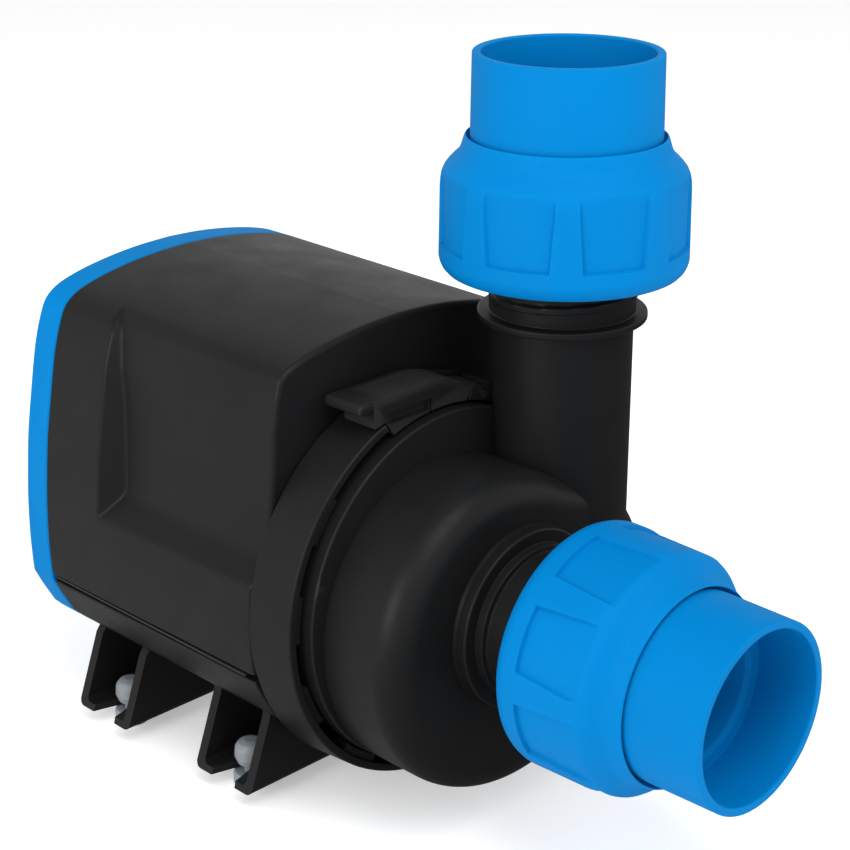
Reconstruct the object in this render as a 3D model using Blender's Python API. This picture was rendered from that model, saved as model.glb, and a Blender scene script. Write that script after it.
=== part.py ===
"""Wave maker pump: a magnet-drive circulation pump for aquaria and ponds.

Lengths are written in millimetres in the pump's own frame, and placed() turns them into metres
in the scene. In the pump's frame the rotor turns on the Y axis, the inlet faces -Y and the
outlet points to +Z.
"""

import math

import bmesh
import bpy
from mathutils import Vector

# Outside sizes
FLOOR_Z = -54.0
GLAND_END_Y = 61.0
BODY_REAR_Y = 40.0
REAR_FACE_Y = 49.4
BODY_FRONT_Y = -41.6
BODY_DRAFT = 0.985
SEAM_TOP_Z = -13.4
SEAM_BOTTOM_Z = -15.2
WALL = 3.0

# Bayonet ring on the base frame and the flange of the volute behind it
RING_R = 50.0
RING_REAR_R = 50.8
RING_INNER_R = 47.9
RING_FRONT_Y = -55.4
BULKHEAD_FRONT_Y = -44.6
BULKHEAD_REAR_Y = -42.0
LUG_PITCH = 30
FIRST_LUG = 144
LUGS = 10
RING_LUG_HALF = 7.2
VOLUTE_LUG_HALF = 6.5
FLANGE_R = 45.4
FLANGE_FRONT_Y = -58.0
FLANGE_REAR_Y = -48.3

# Volute casing
CUTWATER_ANGLE = 80.0
CUTWATER_R = 34.3
SPIRAL_RATE = 0.0623
CASING_R = 48.75
CASING_REAR_Y = -56.9
CASING_FRONT_Y = -81.5
CASING_ROUNDING = 11.0
CHAMBER_R = 31.3
CHAMBER_FRONT_Y = -78.0
BORE_R = 13.5
PIPE_X = 31.35
PIPE_Y = -65.3
PIPE_R = 17.4
PIPE_CUT_R = 51.6
PIPE_CUT_Y = -56.4

# Unions: u is the distance outwards from the end of the nut that faces the pump
INLET_NUT_D = 100.2
OUTLET_NUT_Z = 76.2
NUT_LENGTH = 32.7
NUT_R = 30.1
RIB_HALF_ANGLE = 7.6
NUT_REACH = NUT_R * math.cos(math.radians(RIB_HALF_ANGLE))
TAIL_END = 52.3
SOCKET_R = 20.3
SOCKET_DEPTH = 16.0
NECK_R = 17.9
NECK_END = 11.3
THREAD_PITCH = 5.0
THREAD_CREST_R = 19.2
NUT_THREAD_R = 19.9
NUT_THREAD_CREST_R = 18.8

# Motor
SHAFT_R = 3.0
STATOR_R = 37.0
STATOR_FRONT_Y = -30.0
STATOR_REAR_Y = 0.0
WELL_R = 19.6
WELL_INNER_R = 17.3
WELL_REAR_Y = 14.0
COILS = 6

# Feet
FOOT_Y = (22.2, -25.1)
FOOT_HALF_WIDTH = 10.8
FOOT_OUTER_X = (49.2, 47.4)
FOOT_PLATE_Z = -50.0
FOOT_PLATE = 1.8
GUSSET = 2.8
KNOB_X = (39.7, 37.9)

# Cover screws, cable gland and latch
SCREWS = ((37.0, 53.5), (-37.0, 53.5), (33.5, -24.6), (-33.5, -24.6))
GLAND_X = 20.0
GLAND_Z = -14.0
LATCH_PIN_X = 14.4
LATCH_PIN_Z = 45.7

# The origin of the scene is on the floor under the middle of the outside box
MIDDLE_X = (PIPE_X + NUT_REACH - RING_REAR_R) / 2
MIDDLE_Y = (GLAND_END_Y - INLET_NUT_D - TAIL_END) / 2
ORIGIN = (MIDDLE_X, MIDDLE_Y, FLOOR_Z)

PARTS = "wave_maker_pump"
CUTTERS = "cutters"

# name: base colour, roughness, metallic
FINISHES = {
    "black_plastic": ((0.020, 0.020, 0.021), 0.42, 0.0),
    "blue_plastic": ((0.0, 0.305, 0.855), 0.30, 0.0),
    "silicone": ((0.42, 0.46, 0.49), 0.45, 0.0),
    "seal_rubber": ((0.012, 0.012, 0.012), 0.65, 0.0),
    "steel": ((0.56, 0.55, 0.53), 0.30, 1.0),
    "lamination": ((0.30, 0.29, 0.28), 0.42, 1.0),
    "copper": ((0.72, 0.30, 0.14), 0.32, 1.0),
    "ceramic": ((0.80, 0.79, 0.75), 0.25, 0.0),
    "magnet": ((0.035, 0.035, 0.038), 0.50, 0.0),
    "board": ((0.010, 0.110, 0.035), 0.45, 0.0),
    "capacitor": ((0.015, 0.020, 0.060), 0.35, 0.0),
}


# ---------------------------------------------------------------- scene set-up


def clear_scene():
    for obj in list(bpy.data.objects):
        bpy.data.objects.remove(obj, do_unlink=True)
    for collection in list(bpy.data.collections):
        bpy.data.collections.remove(collection)


def new_collection(name):
    collection = bpy.data.collections.new(name)
    bpy.context.scene.collection.children.link(collection)
    return collection


def placed(point):
    """A point of the pump's frame, in millimetres, as metres in the scene."""
    return tuple((value - start) / 1000 for value, start in zip(point, ORIGIN))


def new_object(name, shape, centre, collection):
    """An object from (points, faces), with its origin at centre in the pump's frame."""
    points, faces = shape
    origin = Vector(placed(centre))
    mesh = bpy.data.meshes.new(name)
    mesh.from_pydata([Vector(placed(p)) - origin for p in points], [], faces)
    work = bmesh.new()
    work.from_mesh(mesh)
    bmesh.ops.recalc_face_normals(work, faces=work.faces)
    work.to_mesh(mesh)
    work.free()
    obj = bpy.data.objects.new(name, mesh)
    obj.location = origin
    bpy.data.collections[collection].objects.link(obj)
    return obj


def part(name, shape, finish, centre=(0, 0, 0)):
    """One piece of the pump, with a material of its own."""
    obj = new_object(name, shape, centre, PARTS)
    colour, roughness, metallic = FINISHES[finish]
    material = bpy.data.materials.new(name)
    material.use_nodes = True
    shader = material.node_tree.nodes["Principled BSDF"]
    shader.inputs["Base Color"].default_value = (*colour, 1.0)
    shader.inputs["Roughness"].default_value = roughness
    shader.inputs["Metallic"].default_value = metallic
    obj.data.materials.append(material)
    return obj


def helper(name, shape):
    """A hidden solid that a Boolean uses."""
    obj = new_object(name, shape, (0, 0, 0), CUTTERS)
    obj.hide_render = True
    obj.display_type = "WIRE"
    return obj


def boolean(obj, other, operation):
    modifier = obj.modifiers.new(f"{operation.lower()}_{other.name}", "BOOLEAN")
    modifier.operation = operation
    modifier.object = other
    modifier.solver = "EXACT"


def join(obj, name, shape):
    other = helper(name, shape)
    boolean(obj, other, "UNION")
    return other


def cut(obj, name, shape):
    other = helper(name, shape)
    boolean(obj, other, "DIFFERENCE")
    return other


# ---------------------------------------------------------------- basic shapes


def polar(radius, degrees):
    angle = math.radians(degrees)
    return radius * math.cos(angle), radius * math.sin(angle)


def on_axis(axis, centre, u, v, along):
    """A point at (u, v) across the axis and at a distance along it from centre.

    The axes are "y" (+Y), "-y" (outwards through the inlet) and "z" (+Z).
    """
    x, y, z = centre
    if axis == "z":
        return x + u, y + v, z + along
    return x + u, y + (along if axis == "y" else -along), z + v


def grid(rings, closed):
    """A solid through rings of equal length: a closed tube, or a body with two flat ends."""
    count = len(rings[0])
    points = [point for ring in rings for point in ring]
    faces = []
    for k in range(len(rings) if closed else len(rings) - 1):
        low = k * count
        high = (k + 1) % len(rings) * count
        for i in range(count):
            j = (i + 1) % count
            faces.append((low + i, low + j, high + j, high + i))
    if not closed:
        faces.append(tuple(range(count)))
        faces.append(tuple(range(len(points) - count, len(points))))
    return points, faces


def turned(profile, axis="y", centre=(0, 0, 0), segments=36):
    """A lathe shape. The profile holds (radius, along); one with no zero radius is a tube."""
    tube = all(radius > 0 for radius, _ in profile)
    rows = profile if tube else [row for row in profile if row[0] > 0]
    rings = []
    for radius, along in rows:
        ring = []
        for i in range(segments):
            u, v = polar(radius, 360 * i / segments)
            ring.append(on_axis(axis, centre, u, v, along))
        rings.append(ring)
    return grid(rings, closed=tube)


def cylinder(radius, low, high, axis="y", centre=(0, 0, 0), segments=28):
    return turned([(0, low), (radius, low), (radius, high), (0, high)], axis, centre, segments)


def tube(outer, inner, low, high, axis="y", centre=(0, 0, 0), segments=28):
    profile = [(outer, low), (outer, high), (inner, high), (inner, low)]
    return turned(profile, axis, centre, segments)


def prism(outline, low, high, low_scale=1.0):
    """An outline in X and Z, extruded along Y. low_scale makes it smaller at the low end."""
    front = [(x * low_scale, low, z * (low_scale if z > 0 else 1)) for x, z in outline]
    rear = [(x, high, z) for x, z in outline]
    return grid([front, rear], closed=False)


def slab(outline, low, high):
    """An outline in X and Y, extruded along Z."""
    return grid([[(x, y, low) for x, y in outline], [(x, y, high) for x, y in outline]], False)


def sector(inner, outer, start, end, low, high, steps=4):
    """Part of a tube round the Y axis, between two angles."""
    angles = [start + (end - start) * i / steps for i in range(steps + 1)]
    outline = [polar(outer, a) for a in angles]
    outline += [polar(inner, a) for a in reversed(angles)]
    return prism(outline, low, high)


def several(shapes):
    """Separate solids in one mesh."""
    points = []
    faces = []
    for more_points, more_faces in shapes:
        start = len(points)
        points += more_points
        faces += [tuple(start + i for i in face) for face in more_faces]
    return points, faces


def ring_of_cord(radius, cord, along, axis="y", centre=(0, 0, 0), segments=24):
    """An O-ring."""
    profile = []
    for i in range(6):
        u, v = polar(cord, 60 * i)
        profile.append((radius + u, along + v))
    return turned(profile, axis, centre, segments)


def inset(outline, distance):
    """A convex outline moved inwards by a distance."""
    count = len(outline)
    area = 0.0
    for i in range(count):
        (x0, z0), (x1, z1) = outline[i], outline[(i + 1) % count]
        area += x0 * z1 - x1 * z0
    side = 1 if area > 0 else -1
    moved = []
    for i in range(count):
        before, here, after = outline[i - 1], outline[i], outline[(i + 1) % count]
        first = Vector((here[0] - before[0], here[1] - before[1])).normalized()
        second = Vector((after[0] - here[0], after[1] - here[1])).normalized()
        normal = Vector((-first.y - second.y, first.x + second.x)).normalized()
        reach = distance / max(0.3, normal.dot(Vector((-first.y, first.x))))
        moved.append((here[0] + side * normal.x * reach, here[1] + side * normal.y * reach))
    return moved


def mirrored(right):
    """A whole outline from its right half, listed from the bottom to the top."""
    left = [(-x, z) for x, z in reversed(right) if x > 0]
    return list(right) + left


def helix(root, crest, pitch, start, turns, axis, centre, inwards=False, steps=14):
    """A screw thread ridge, thinning out at both ends."""
    sink = 0.45
    count = int(turns * steps)
    rings = []
    for k in range(count + 1):
        u, v = polar(1, 360 * k / steps)
        along = start + pitch * k / steps
        fade = min(1, 4 * k / steps + 0.15, 4 * (count - k) / steps + 0.15)
        foot = root + sink if inwards else root - sink
        tip = root + (crest - root) * fade
        wide = 1.15
        thin = 0.55
        ring = []
        for radius, shift in ((foot, -wide), (tip, -thin), (tip, thin), (foot, wide)):
            ring.append(on_axis(axis, centre, u * radius, v * radius, along + shift))
        rings.append(ring)
    return grid(rings, closed=False)


# ---------------------------------------------------------------- outlines of the body


def upper_half():
    """Right half of the motor cover's outline, from the seam to the crown."""
    return [
        (50.0, SEAM_TOP_Z),
        (50.5, -5),
        (50.3, 6),
        (49.7, 14),
        (48.7, 24),
        (46.9, 35),
        (44.4, 48),
        (42.4, 54.6),
        (40.6, 58.6),
        (38.6, 60.6),
        (36.0, 62.1),
        (30.0, 64.0),
        (20.0, 65.9),
        (10.0, 67.0),
        (0.0, 67.4),
    ]


def lower_half():
    """Right half of the base frame's outline, from the belly to the seam."""
    belly = [polar(43, angle) for angle in (-90, -78, -66, -57, -49)]
    belly[0] = (0, -43)
    side = [(36.0, -30.8), (42.0, -28.2), (44.4, -25.8), (47.8, -19.7), (50.0, SEAM_BOTTOM_Z)]
    return belly + side


def whole_outline():
    return mirrored(lower_half() + upper_half())


# ---------------------------------------------------------------- housing


def recess_cutter(side):
    """The hollow in the side of the motor cover, open to the front."""
    floor = [(51.5, 7.6), (45.4, 20), (45.0, 26), (43.6, 40), (42.2, 50), (40.4, 57), (38.0, 61.8)]
    outline = floor + [(41, 70), (60, 70), (60, 7.6)]
    front = []
    rear = []
    for x, z in outline:
        front.append((side * x, BODY_FRONT_Y - 5, z))
        rear.append((side * x, 12.5 + 0.92 * (x - 43.5), z))
    return grid([front, rear], closed=False)


def make_motor_cover():
    outline = mirrored(upper_half())
    shell = prism(outline, BODY_FRONT_Y, BODY_REAR_Y, BODY_DRAFT)
    cover = part("motor_cover", shell, "black_plastic")
    rear_room = [
        (46.9, -20),
        (47.2, 0),
        (45.3, 24),
        (43.4, 35),
        (40.8, 48),
        (38.5, 57),
        (34, 60.3),
        (0, 62.9),
    ]
    # The front of the room is narrower, behind the hollows in the sides.
    front_room = [
        (46.4, -20),
        (46.4, 2),
        (40.6, 13),
        (40.0, 40),
        (38.4, 52),
        (35.0, 59),
        (30, 60.5),
        (0, 62.8),
    ]
    cut(cover, "cover_rear_room", prism(mirrored(rear_room), 19.5, 45))
    cut(cover, "cover_front_room", prism(mirrored(front_room), BODY_FRONT_Y + WALL, 21))
    bosses = []
    for x, z in SCREWS[:2]:
        bosses.append(tube(4.6, 1.5, 24, BODY_REAR_Y - 0.6, "y", (x, 0, z), 12))
    join(cover, "cover_bosses", several(bosses))
    cut(cover, "cover_recess_left", recess_cutter(-1))
    cut(cover, "cover_recess_right", recess_cutter(1))
    cut(cover, "cover_well_hole", cylinder(21.5, -50, -30, segments=40))


def foot_outline(side, outer):
    corners = [
        (outer, FOOT_PLATE_Z),
        (outer - 7.0, -30.6),
        (40.0, -27.7),
        (36.0, -29.2),
        (28.5, -30.8),
        (16.5, -38.0),
        (24.0, FOOT_PLATE_Z),
    ]
    return [(side * x, z) for x, z in corners]


def slot_outline(side, knob, middle):
    """A keyhole slot, open to the side: a tapered mouth that ends in a round hole."""
    half = [(15.0, 5.6), (4.6, 2.8)] + [polar(3.6, angle) for angle in (51, 75, 105, 135, 165)]
    outline = [(side * (knob + u), middle - v) for u, v in half]
    return outline + [(side * (knob + u), middle + v) for u, v in reversed(half)]


def make_foot(base, side, number):
    row = number % 2
    middle = FOOT_Y[row]
    low = middle - FOOT_HALF_WIDTH
    high = middle + FOOT_HALF_WIDTH
    name = f"foot_{number + 1}"
    foot = helper(f"{name}_block", prism(foot_outline(side, FOOT_OUTER_X[row]), low, high))
    plate_top = FOOT_PLATE_Z + FOOT_PLATE
    pocket = [(side * 10, plate_top), (side * 60, plate_top), (side * 60, -20), (side * 10, -20)]
    cut(foot, f"{name}_pocket", prism(pocket, low + GUSSET, high - GUSSET))
    cut(foot, f"{name}_slot", slab(slot_outline(side, KNOB_X[row], middle), -60, -45))
    boolean(base, foot, "UNION")


def lug_angles():
    """Middle angle of each bayonet lug. There is none in the gap for the latch."""
    return [FIRST_LUG + LUG_PITCH * i for i in range(LUGS)]


def make_base_frame():
    ring = [
        (RING_REAR_R, BULKHEAD_REAR_Y),
        (RING_R, RING_FRONT_Y + 0.5),
        (RING_R - 0.5, RING_FRONT_Y),
        (RING_INNER_R + 0.3, RING_FRONT_Y),
        (RING_INNER_R, RING_FRONT_Y + 0.3),
        (RING_INNER_R, BULKHEAD_FRONT_Y),
        (20.6, BULKHEAD_FRONT_Y),
        (20.6, BULKHEAD_REAR_Y),
    ]
    base = part("base_frame", turned(ring, segments=48), "black_plastic")
    cut(base, "latch_gap", sector(45.0, 54, 69.5, 111.8, -57, BULKHEAD_FRONT_Y - 0.3, 8))
    lugs = []
    for angle in lug_angles():
        start = angle - RING_LUG_HALF
        lugs.append(sector(45.9, 48.3, start, angle + RING_LUG_HALF, -54.6, -52.0, 3))
    lugs.append(sector(46.1, 49.8, 66.5, 78.0, RING_FRONT_Y + 0.1, -53.4, 3))
    join(base, "ring_lugs", several(lugs))
    half = lower_half()
    tray = helper("tray", prism(mirrored(half), BODY_FRONT_Y + 0.2, BODY_REAR_Y - 0.2, BODY_DRAFT))
    room = inset(mirrored(half[:-1] + [(50.0, 10.0)]), WALL)
    cut(tray, "tray_room", prism(room, BODY_FRONT_Y + WALL, BODY_REAR_Y + 5))
    cut(tray, "tray_well_hole", cylinder(20.9, -50, -30, segments=40))
    boolean(base, tray, "UNION")
    chord = [polar(49.2, angle) for angle in range(-162, -17, 8)]
    low_joint = helper("low_joint", prism(chord, BULKHEAD_REAR_Y - 1.2, BODY_FRONT_Y + 1.4))
    cut(low_joint, "low_joint_well_hole", cylinder(20.75, -50, -30, segments=40))
    boolean(base, low_joint, "UNION")
    lips = []
    for side in (-1, 1):
        strip = [(46.1, -8.5), (44.0, -8.5), (43.2, -17.9), (46.1, -17.9)]
        strip = [(side * x, z) for x, z in strip]
        lips.append(prism(strip, BODY_FRONT_Y + WALL + 0.6, BODY_REAR_Y - 1))
    join(base, "tray_lips", several(lips))
    bosses = []
    for x, z in SCREWS[2:]:
        bosses.append(tube(4.6, 1.5, 22, BODY_REAR_Y - 0.7, "y", (x, 0, z), 12))
    join(base, "tray_bosses", several(bosses))
    for number in range(4):
        make_foot(base, -1 if number < 2 else 1, number)
    pin = (LATCH_PIN_X, 0, LATCH_PIN_Z)
    cut(base, "latch_pin_hole", cylinder(1.35, -60, -30, "y", pin, 12))


def make_rear_cover():
    outline = whole_outline()
    rings = []
    for y, distance in ((BODY_REAR_Y + 0.3, 0), (48.2, 0), (49.0, 0.35), (REAR_FACE_Y, 1.2)):
        shrunk = inset(outline, distance) if distance else outline
        rings.append([(x, y, z) for x, z in shrunk])
    cover = part("rear_cover", grid(rings, closed=False), "blue_plastic")
    room = helper("rear_room", prism(inset(outline, WALL), 30, REAR_FACE_Y - WALL))
    keeps = [cylinder(6.2, 20, 50, "y", (x, 0, z), 10) for x, z in SCREWS]
    cut(room, "screw_posts", several(keeps))
    boolean(cover, room, "DIFFERENCE")
    holes = []
    for x, z in SCREWS:
        steps = [(0, 30), (1.9, 30), (1.9, 46.2), (3.9, 46.2), (3.9, 55), (0, 55)]
        holes.append(turned(steps, "y", (x, 0, z), 12))
    holes.append(cylinder(6.4, 30, 60, "y", (GLAND_X, 0, GLAND_Z), 20))
    cut(cover, "rear_holes", several(holes))


def make_cover_screws():
    """Four pan-head screws with a cross recess, through the rear cover."""
    for number, (x, z) in enumerate(SCREWS):
        centre = (x, 0, z)
        shank = [(0, 26), (0.6, 26), (1.2, 27.5), (1.2, 46.5)]
        head = [(3.5, 46.5), (3.5, 47.6), (2.6, 48.4), (0, 48.4)]
        body = turned(shank + head, "y", centre, 14)
        screw = part(f"cover_screw_{number + 1}", body, "steel", (x, 46.5, z))
        for wide, tall, floor in ((1.9, 0.45, 47.3), (0.45, 1.9, 47.35)):
            low_side = [(x - wide, z - tall), (x + wide, z - tall)]
            high_side = [(x + wide, z + tall), (x - wide, z + tall)]
            slot = prism(low_side + high_side, floor, 50)
            cut(screw, f"cross_{number + 1}_{wide}", slot)


def make_cable_gland():
    """Inlet for the cable, with a clamping nut. The cable itself is left out."""
    centre = (GLAND_X, 0, GLAND_Z)
    outside = [(6.1, 43), (6.1, 49.7), (9.2, 49.7), (9.2, 51.8), (6.2, 51.8), (6.2, 58.4)]
    inside = [(5.3, 58.4), (5.3, 51), (4.0, 51), (4.0, 43)]
    body = turned(outside + inside, "y", centre, 18)
    part("cable_gland_body", body, "black_plastic", (GLAND_X, 49.7, GLAND_Z))
    outside = [(8.6, 52.1), (9.1, 52.8), (9.1, 58.2), (7.2, GLAND_END_Y)]
    inside = [(4.6, GLAND_END_Y), (4.6, 58.8), (6.6, 58.8), (6.6, 52.1)]
    nut = turned(outside + inside, "y", centre, 18)
    part("cable_gland_nut", nut, "black_plastic", (GLAND_X, 52.1, GLAND_Z))
    seal = tube(5.0, 3.3, 51.3, 58.4, "y", centre, 18)
    part("cable_gland_seal", seal, "seal_rubber", (GLAND_X, 51.3, GLAND_Z))


def make_foot_pads():
    """Silicone feet: a round pad, a neck in the slot and a knob above the plate."""
    profile = [
        (0, FLOOR_Z),
        (4.3, FLOOR_Z),
        (4.8, -53.4),
        (4.8, -50.9),
        (4.5, -50.3),
        (3.3, -50.3),
        (3.3, -47.9),
        (4.2, -46.1),
        (4.0, -43.4),
        (3.2, -42.3),
        (1.6, -41.6),
        (0, -41.5),
    ]
    for number in range(4):
        row = number % 2
        x = -KNOB_X[row] if number < 2 else KNOB_X[row]
        centre = (x, FOOT_Y[row], 0)
        place = (x, FOOT_Y[row], FLOOR_Z)
        part(f"foot_pad_{number + 1}", turned(profile, "z", centre, 16), "silicone", place)


def make_latch():
    """Spring latch of the bayonet, hinged on a pin at its right end."""
    under = [polar(46.3, angle) for angle in (110.5, 103, 96, 88, 80)]
    hump = [(10.4, 48.6), (7.5, 50.0), (4.3, 51.9), (-0.4, 53.2), (-4.4, 53.5)]
    top = hump + [(-17.9, 53.2), (-21.4, 53.0), (-18.6, 46.8)]
    latch = part(
        "latch",
        prism(under + top, RING_FRONT_Y - 0.2, -45.2),
        "black_plastic",
        (LATCH_PIN_X, -50, LATCH_PIN_Z),
    )
    plate = [(-27.0, 50.9), (1.0, 51.3), (3.6, 51.8)]
    plate += [(-0.4, 52.9), (-4.4, 53.3), (-17.9, 53.0), (-26.6, 52.8)]
    join(latch, "latch_plate", prism(plate, RING_FRONT_Y - 0.1, -42.9))
    arm = [(6.0, 46.6), (14.4, 43.9), (14.4, 47.5), (8.0, 49.2)]
    join(latch, "latch_arm", prism(arm, -53.0, -45.3))
    pin = (LATCH_PIN_X, 0, LATCH_PIN_Z)
    join(latch, "latch_knuckle", cylinder(1.95, -52.9, -45.35, "y", pin, 14))
    ear_room = [polar(45, 63), polar(45, 79), polar(55, 79), polar(55, 63)]
    cut(latch, "latch_ear_room", prism(ear_room, -58, -53.05))
    window = [(-17.2, 46.6), (-17.6, 49.1), (-5.0, 49.4), (-5.0, 46.9)]
    cut(latch, "latch_window", prism(window, -60, RING_FRONT_Y + 0.6))
    slit = [(-4.5, 40), (-4.5, 49.4), (-3.9, 49.4), (-3.9, 40)]
    cut(latch, "latch_slit", prism(slit, -60, RING_FRONT_Y + 2.0))
    cut(latch, "latch_bore", cylinder(1.3, -60, -40, "y", pin, 12))
    part("latch_pin", cylinder(1.0, -55.1, -42.3, "y", pin, 12), "steel", pin)


# ---------------------------------------------------------------- volute


def spiral_radius(angle):
    """Outside radius of the casing at an angle from +X towards +Z."""
    turn = (angle - CUTWATER_ANGLE) % 360
    grown = CUTWATER_R + SPIRAL_RATE * turn
    leave = 360 - CUTWATER_ANGLE
    if turn <= leave:
        return min(CASING_R, grown)
    part_way = min(1, (turn - leave) / 62)
    return CASING_R + (CUTWATER_R - CASING_R) * (1 - math.cos(math.pi * part_way)) / 2


def casing(offset, rear, front, rounding, segments=36, arc_steps=3):
    """The spiral body, with a rounded front edge and a nearly flat front."""
    rows = [(0, rear)]
    for k in range(arc_steps + 1):
        u, v = polar(rounding, 90 * k / arc_steps)
        rows.append((rounding - u, front + rounding - v))
    rings = []
    for shrink, y in rows:
        ring = []
        for i in range(segments):
            angle = 360 * i / segments
            x, z = polar(spiral_radius(angle) - offset - shrink, angle)
            ring.append((x, y, z))
        rings.append(ring)
    return grid(rings, closed=False)


def neck_thread(obj, name, axis, centre, start):
    thread = helix(NECK_R, THREAD_CREST_R, THREAD_PITCH, start, 2.5, axis, centre)
    join(obj, name, thread)


def make_volute():
    flange = [
        (CHAMBER_R, FLANGE_REAR_Y),
        (FLANGE_R, FLANGE_REAR_Y),
        (FLANGE_R, FLANGE_FRONT_Y + 0.5),
        (FLANGE_R - 0.5, FLANGE_FRONT_Y),
        (CHAMBER_R, FLANGE_FRONT_Y),
    ]
    volute = part("volute", turned(flange, segments=40), "black_plastic")
    join(volute, "casing", casing(0, CASING_REAR_Y, CASING_FRONT_Y, CASING_ROUNDING))
    neck_end = INLET_NUT_D + NECK_END
    neck = [(0, 76), (23.2, 76), (21.5, 82.4), (21.5, 84.6), (20.9, 85.2), (19.2, 85.2)]
    neck += [(19.2, 87.2), (NECK_R, 87.6)]
    neck += [(NECK_R, neck_end - 0.6), (NECK_R - 0.6, neck_end), (0, neck_end)]
    join(volute, "inlet_neck", turned(neck, "-y", segments=26))
    top = OUTLET_NUT_Z + NECK_END
    centre = (PIPE_X, PIPE_Y, 0)
    pipe = [(0, -17), (7, -16), (12.5, -12), (16.2, -5), (PIPE_R, 3), (PIPE_R, 63.9)]
    pipe += [(20.7, 64.4), (20.7, 66.2), (NECK_R, 66.2)]
    pipe += [(NECK_R, top - 0.6), (NECK_R - 0.6, top), (0, top)]
    outlet = helper("outlet_pipe", turned(pipe, "z", centre, 26))
    cut(outlet, "ring_clearance", cylinder(PIPE_CUT_R, PIPE_CUT_Y, -20, segments=48))
    boolean(volute, outlet, "UNION")
    lugs = []
    for angle in lug_angles():
        start = angle - VOLUTE_LUG_HALF
        lugs.append(sector(44.9, 47.2, start, angle + VOLUTE_LUG_HALF, -51.5, -48.9, 3))
    join(volute, "volute_lugs", several(lugs))
    chamber = cylinder(CHAMBER_R - 0.05, CHAMBER_FRONT_Y + 0.4, -40, segments=40)
    cut(volute, "chamber", chamber)
    channel = casing(WALL, CASING_REAR_Y - 2.8, CHAMBER_FRONT_Y, 8.0, segments=24, arc_steps=2)
    cut(volute, "channel", channel)
    bore = helper("outlet_bore", cylinder(BORE_R, 2, 120, "z", centre, 24))
    cut(bore, "bore_clearance", cylinder(PIPE_CUT_R + WALL, PIPE_CUT_Y - 2.8, -20, segments=36))
    boolean(volute, bore, "DIFFERENCE")
    cut(volute, "inlet_bore", cylinder(BORE_R, 70, 130, "-y"))
    groove = tube(40.4, 37.0, FLANGE_REAR_Y - 2.6, FLANGE_REAR_Y + 3, segments=36)
    cut(volute, "seal_groove", groove)
    spokes = [cylinder(7.0, 76.5, 87, "-y", segments=16)]
    for number in range(3):
        ax, az = polar(1, 90 + 120 * number)
        corners = []
        for r, w in ((5.5, -1.2), (14.8, -1.2), (14.8, 1.2), (5.5, 1.2)):
            corners.append((ax * r - az * w, az * r + ax * w))
        spokes.append(prism(corners, -86.4, -77.8))
    for number, spoke in enumerate(spokes):
        join(volute, f"spider_{number + 1}", spoke)
    cut(volute, "bush_hole", cylinder(4.9, 60, 85.2, "-y", segments=16))
    neck_thread(volute, "inlet_thread", "-y", (0, 0, 0), INLET_NUT_D - 3.2)
    neck_thread(volute, "outlet_thread", "z", centre, OUTLET_NUT_Z - 3.2)


# ---------------------------------------------------------------- unions


def nut_angles(rib_half):
    """Angles round a nut with eight ribs: both rib edges, and the recess between them."""
    angles = []
    for number in range(8):
        middle = 45 * number
        span = 45 - 2 * rib_half - 2.8
        angles += [middle - rib_half, middle + rib_half]
        angles += [middle + rib_half + 1.4 + span * t for t in (0, 0.5, 1)]
    return angles


def make_nut(name, axis, centre, place):
    """Union nut: eight shallow grip recesses between ribs, and an inside thread."""
    # u, radius, half angle of the ribs, depth of the recesses
    outside = [
        (0.2, 28.0, RIB_HALF_ANGLE, 0.0),
        (1.4, 29.4, RIB_HALF_ANGLE, 0.0),
        (3.4, NUT_R, RIB_HALF_ANGLE, 0.0),
        (4.6, NUT_R, RIB_HALF_ANGLE, 0.0),
        (5.0, NUT_R, RIB_HALF_ANGLE, 0.95),
        (20.5, 29.85, 5.4, 0.85),
        (23.0, 29.65, 5.2, 0.5),
        (25.2, 28.7, 5.2, 0.0),
        (27.1, 27.0, 5.2, 0.0),
        (28.3, 25.6, 5.2, 0.0),
        (32.3, 24.15, 5.2, 0.0),
        (NUT_LENGTH, 23.85, 5.2, 0.0),
    ]
    inside = [
        (NUT_LENGTH, 23.3),
        (20.8, 23.3),
        (20.8, 17.6),
        (17.3, 17.6),
        (17.3, NUT_THREAD_R),
        (0.2, NUT_THREAD_R + 0.3),
    ]
    rings = []
    for u, radius, rib_half, depth in outside:
        ring = []
        for k, angle in enumerate(nut_angles(rib_half)):
            x, y = polar(radius - (depth if k % 5 > 1 else 0), angle)
            ring.append(on_axis(axis, centre, x, y, u))
        rings.append(ring)
    for u, radius in inside:
        ring = []
        for angle in nut_angles(6.0):
            x, y = polar(radius, angle)
            ring.append(on_axis(axis, centre, x, y, u))
        rings.append(ring)
    nut = part(name, grid(rings, closed=True), "blue_plastic", place)
    crest = NUT_THREAD_CREST_R
    thread = helix(NUT_THREAD_R, crest, THREAD_PITCH, 4.3, 1.72, axis, centre, inwards=True)
    join(nut, f"{name}_thread", thread)


def make_tail(name, axis, centre, place):
    """Tail of a union: pipe socket, stop ledge, and a snap-in end held by the nut."""
    ledge = TAIL_END - SOCKET_DEPTH
    profile = [
        (17.2, 14.3),
        (18.3, 14.7),
        (18.3, 16.2),
        (17.2, 16.9),
        (17.2, 21.2),
        (22.4, 21.2),
        (22.8, 21.8),
        (22.8, 33.0),
        (22.5, TAIL_END - 0.5),
        (22.1, TAIL_END),
        (20.9, TAIL_END),
        (20.5, TAIL_END - 0.5),
        (SOCKET_R, ledge),
        (17.4, ledge),
        (16.6, ledge - 1.0),
        (BORE_R, 24.0),
        (BORE_R, 14.3),
    ]
    part(name, turned(profile, axis, centre, 32), "blue_plastic", place)


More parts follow.
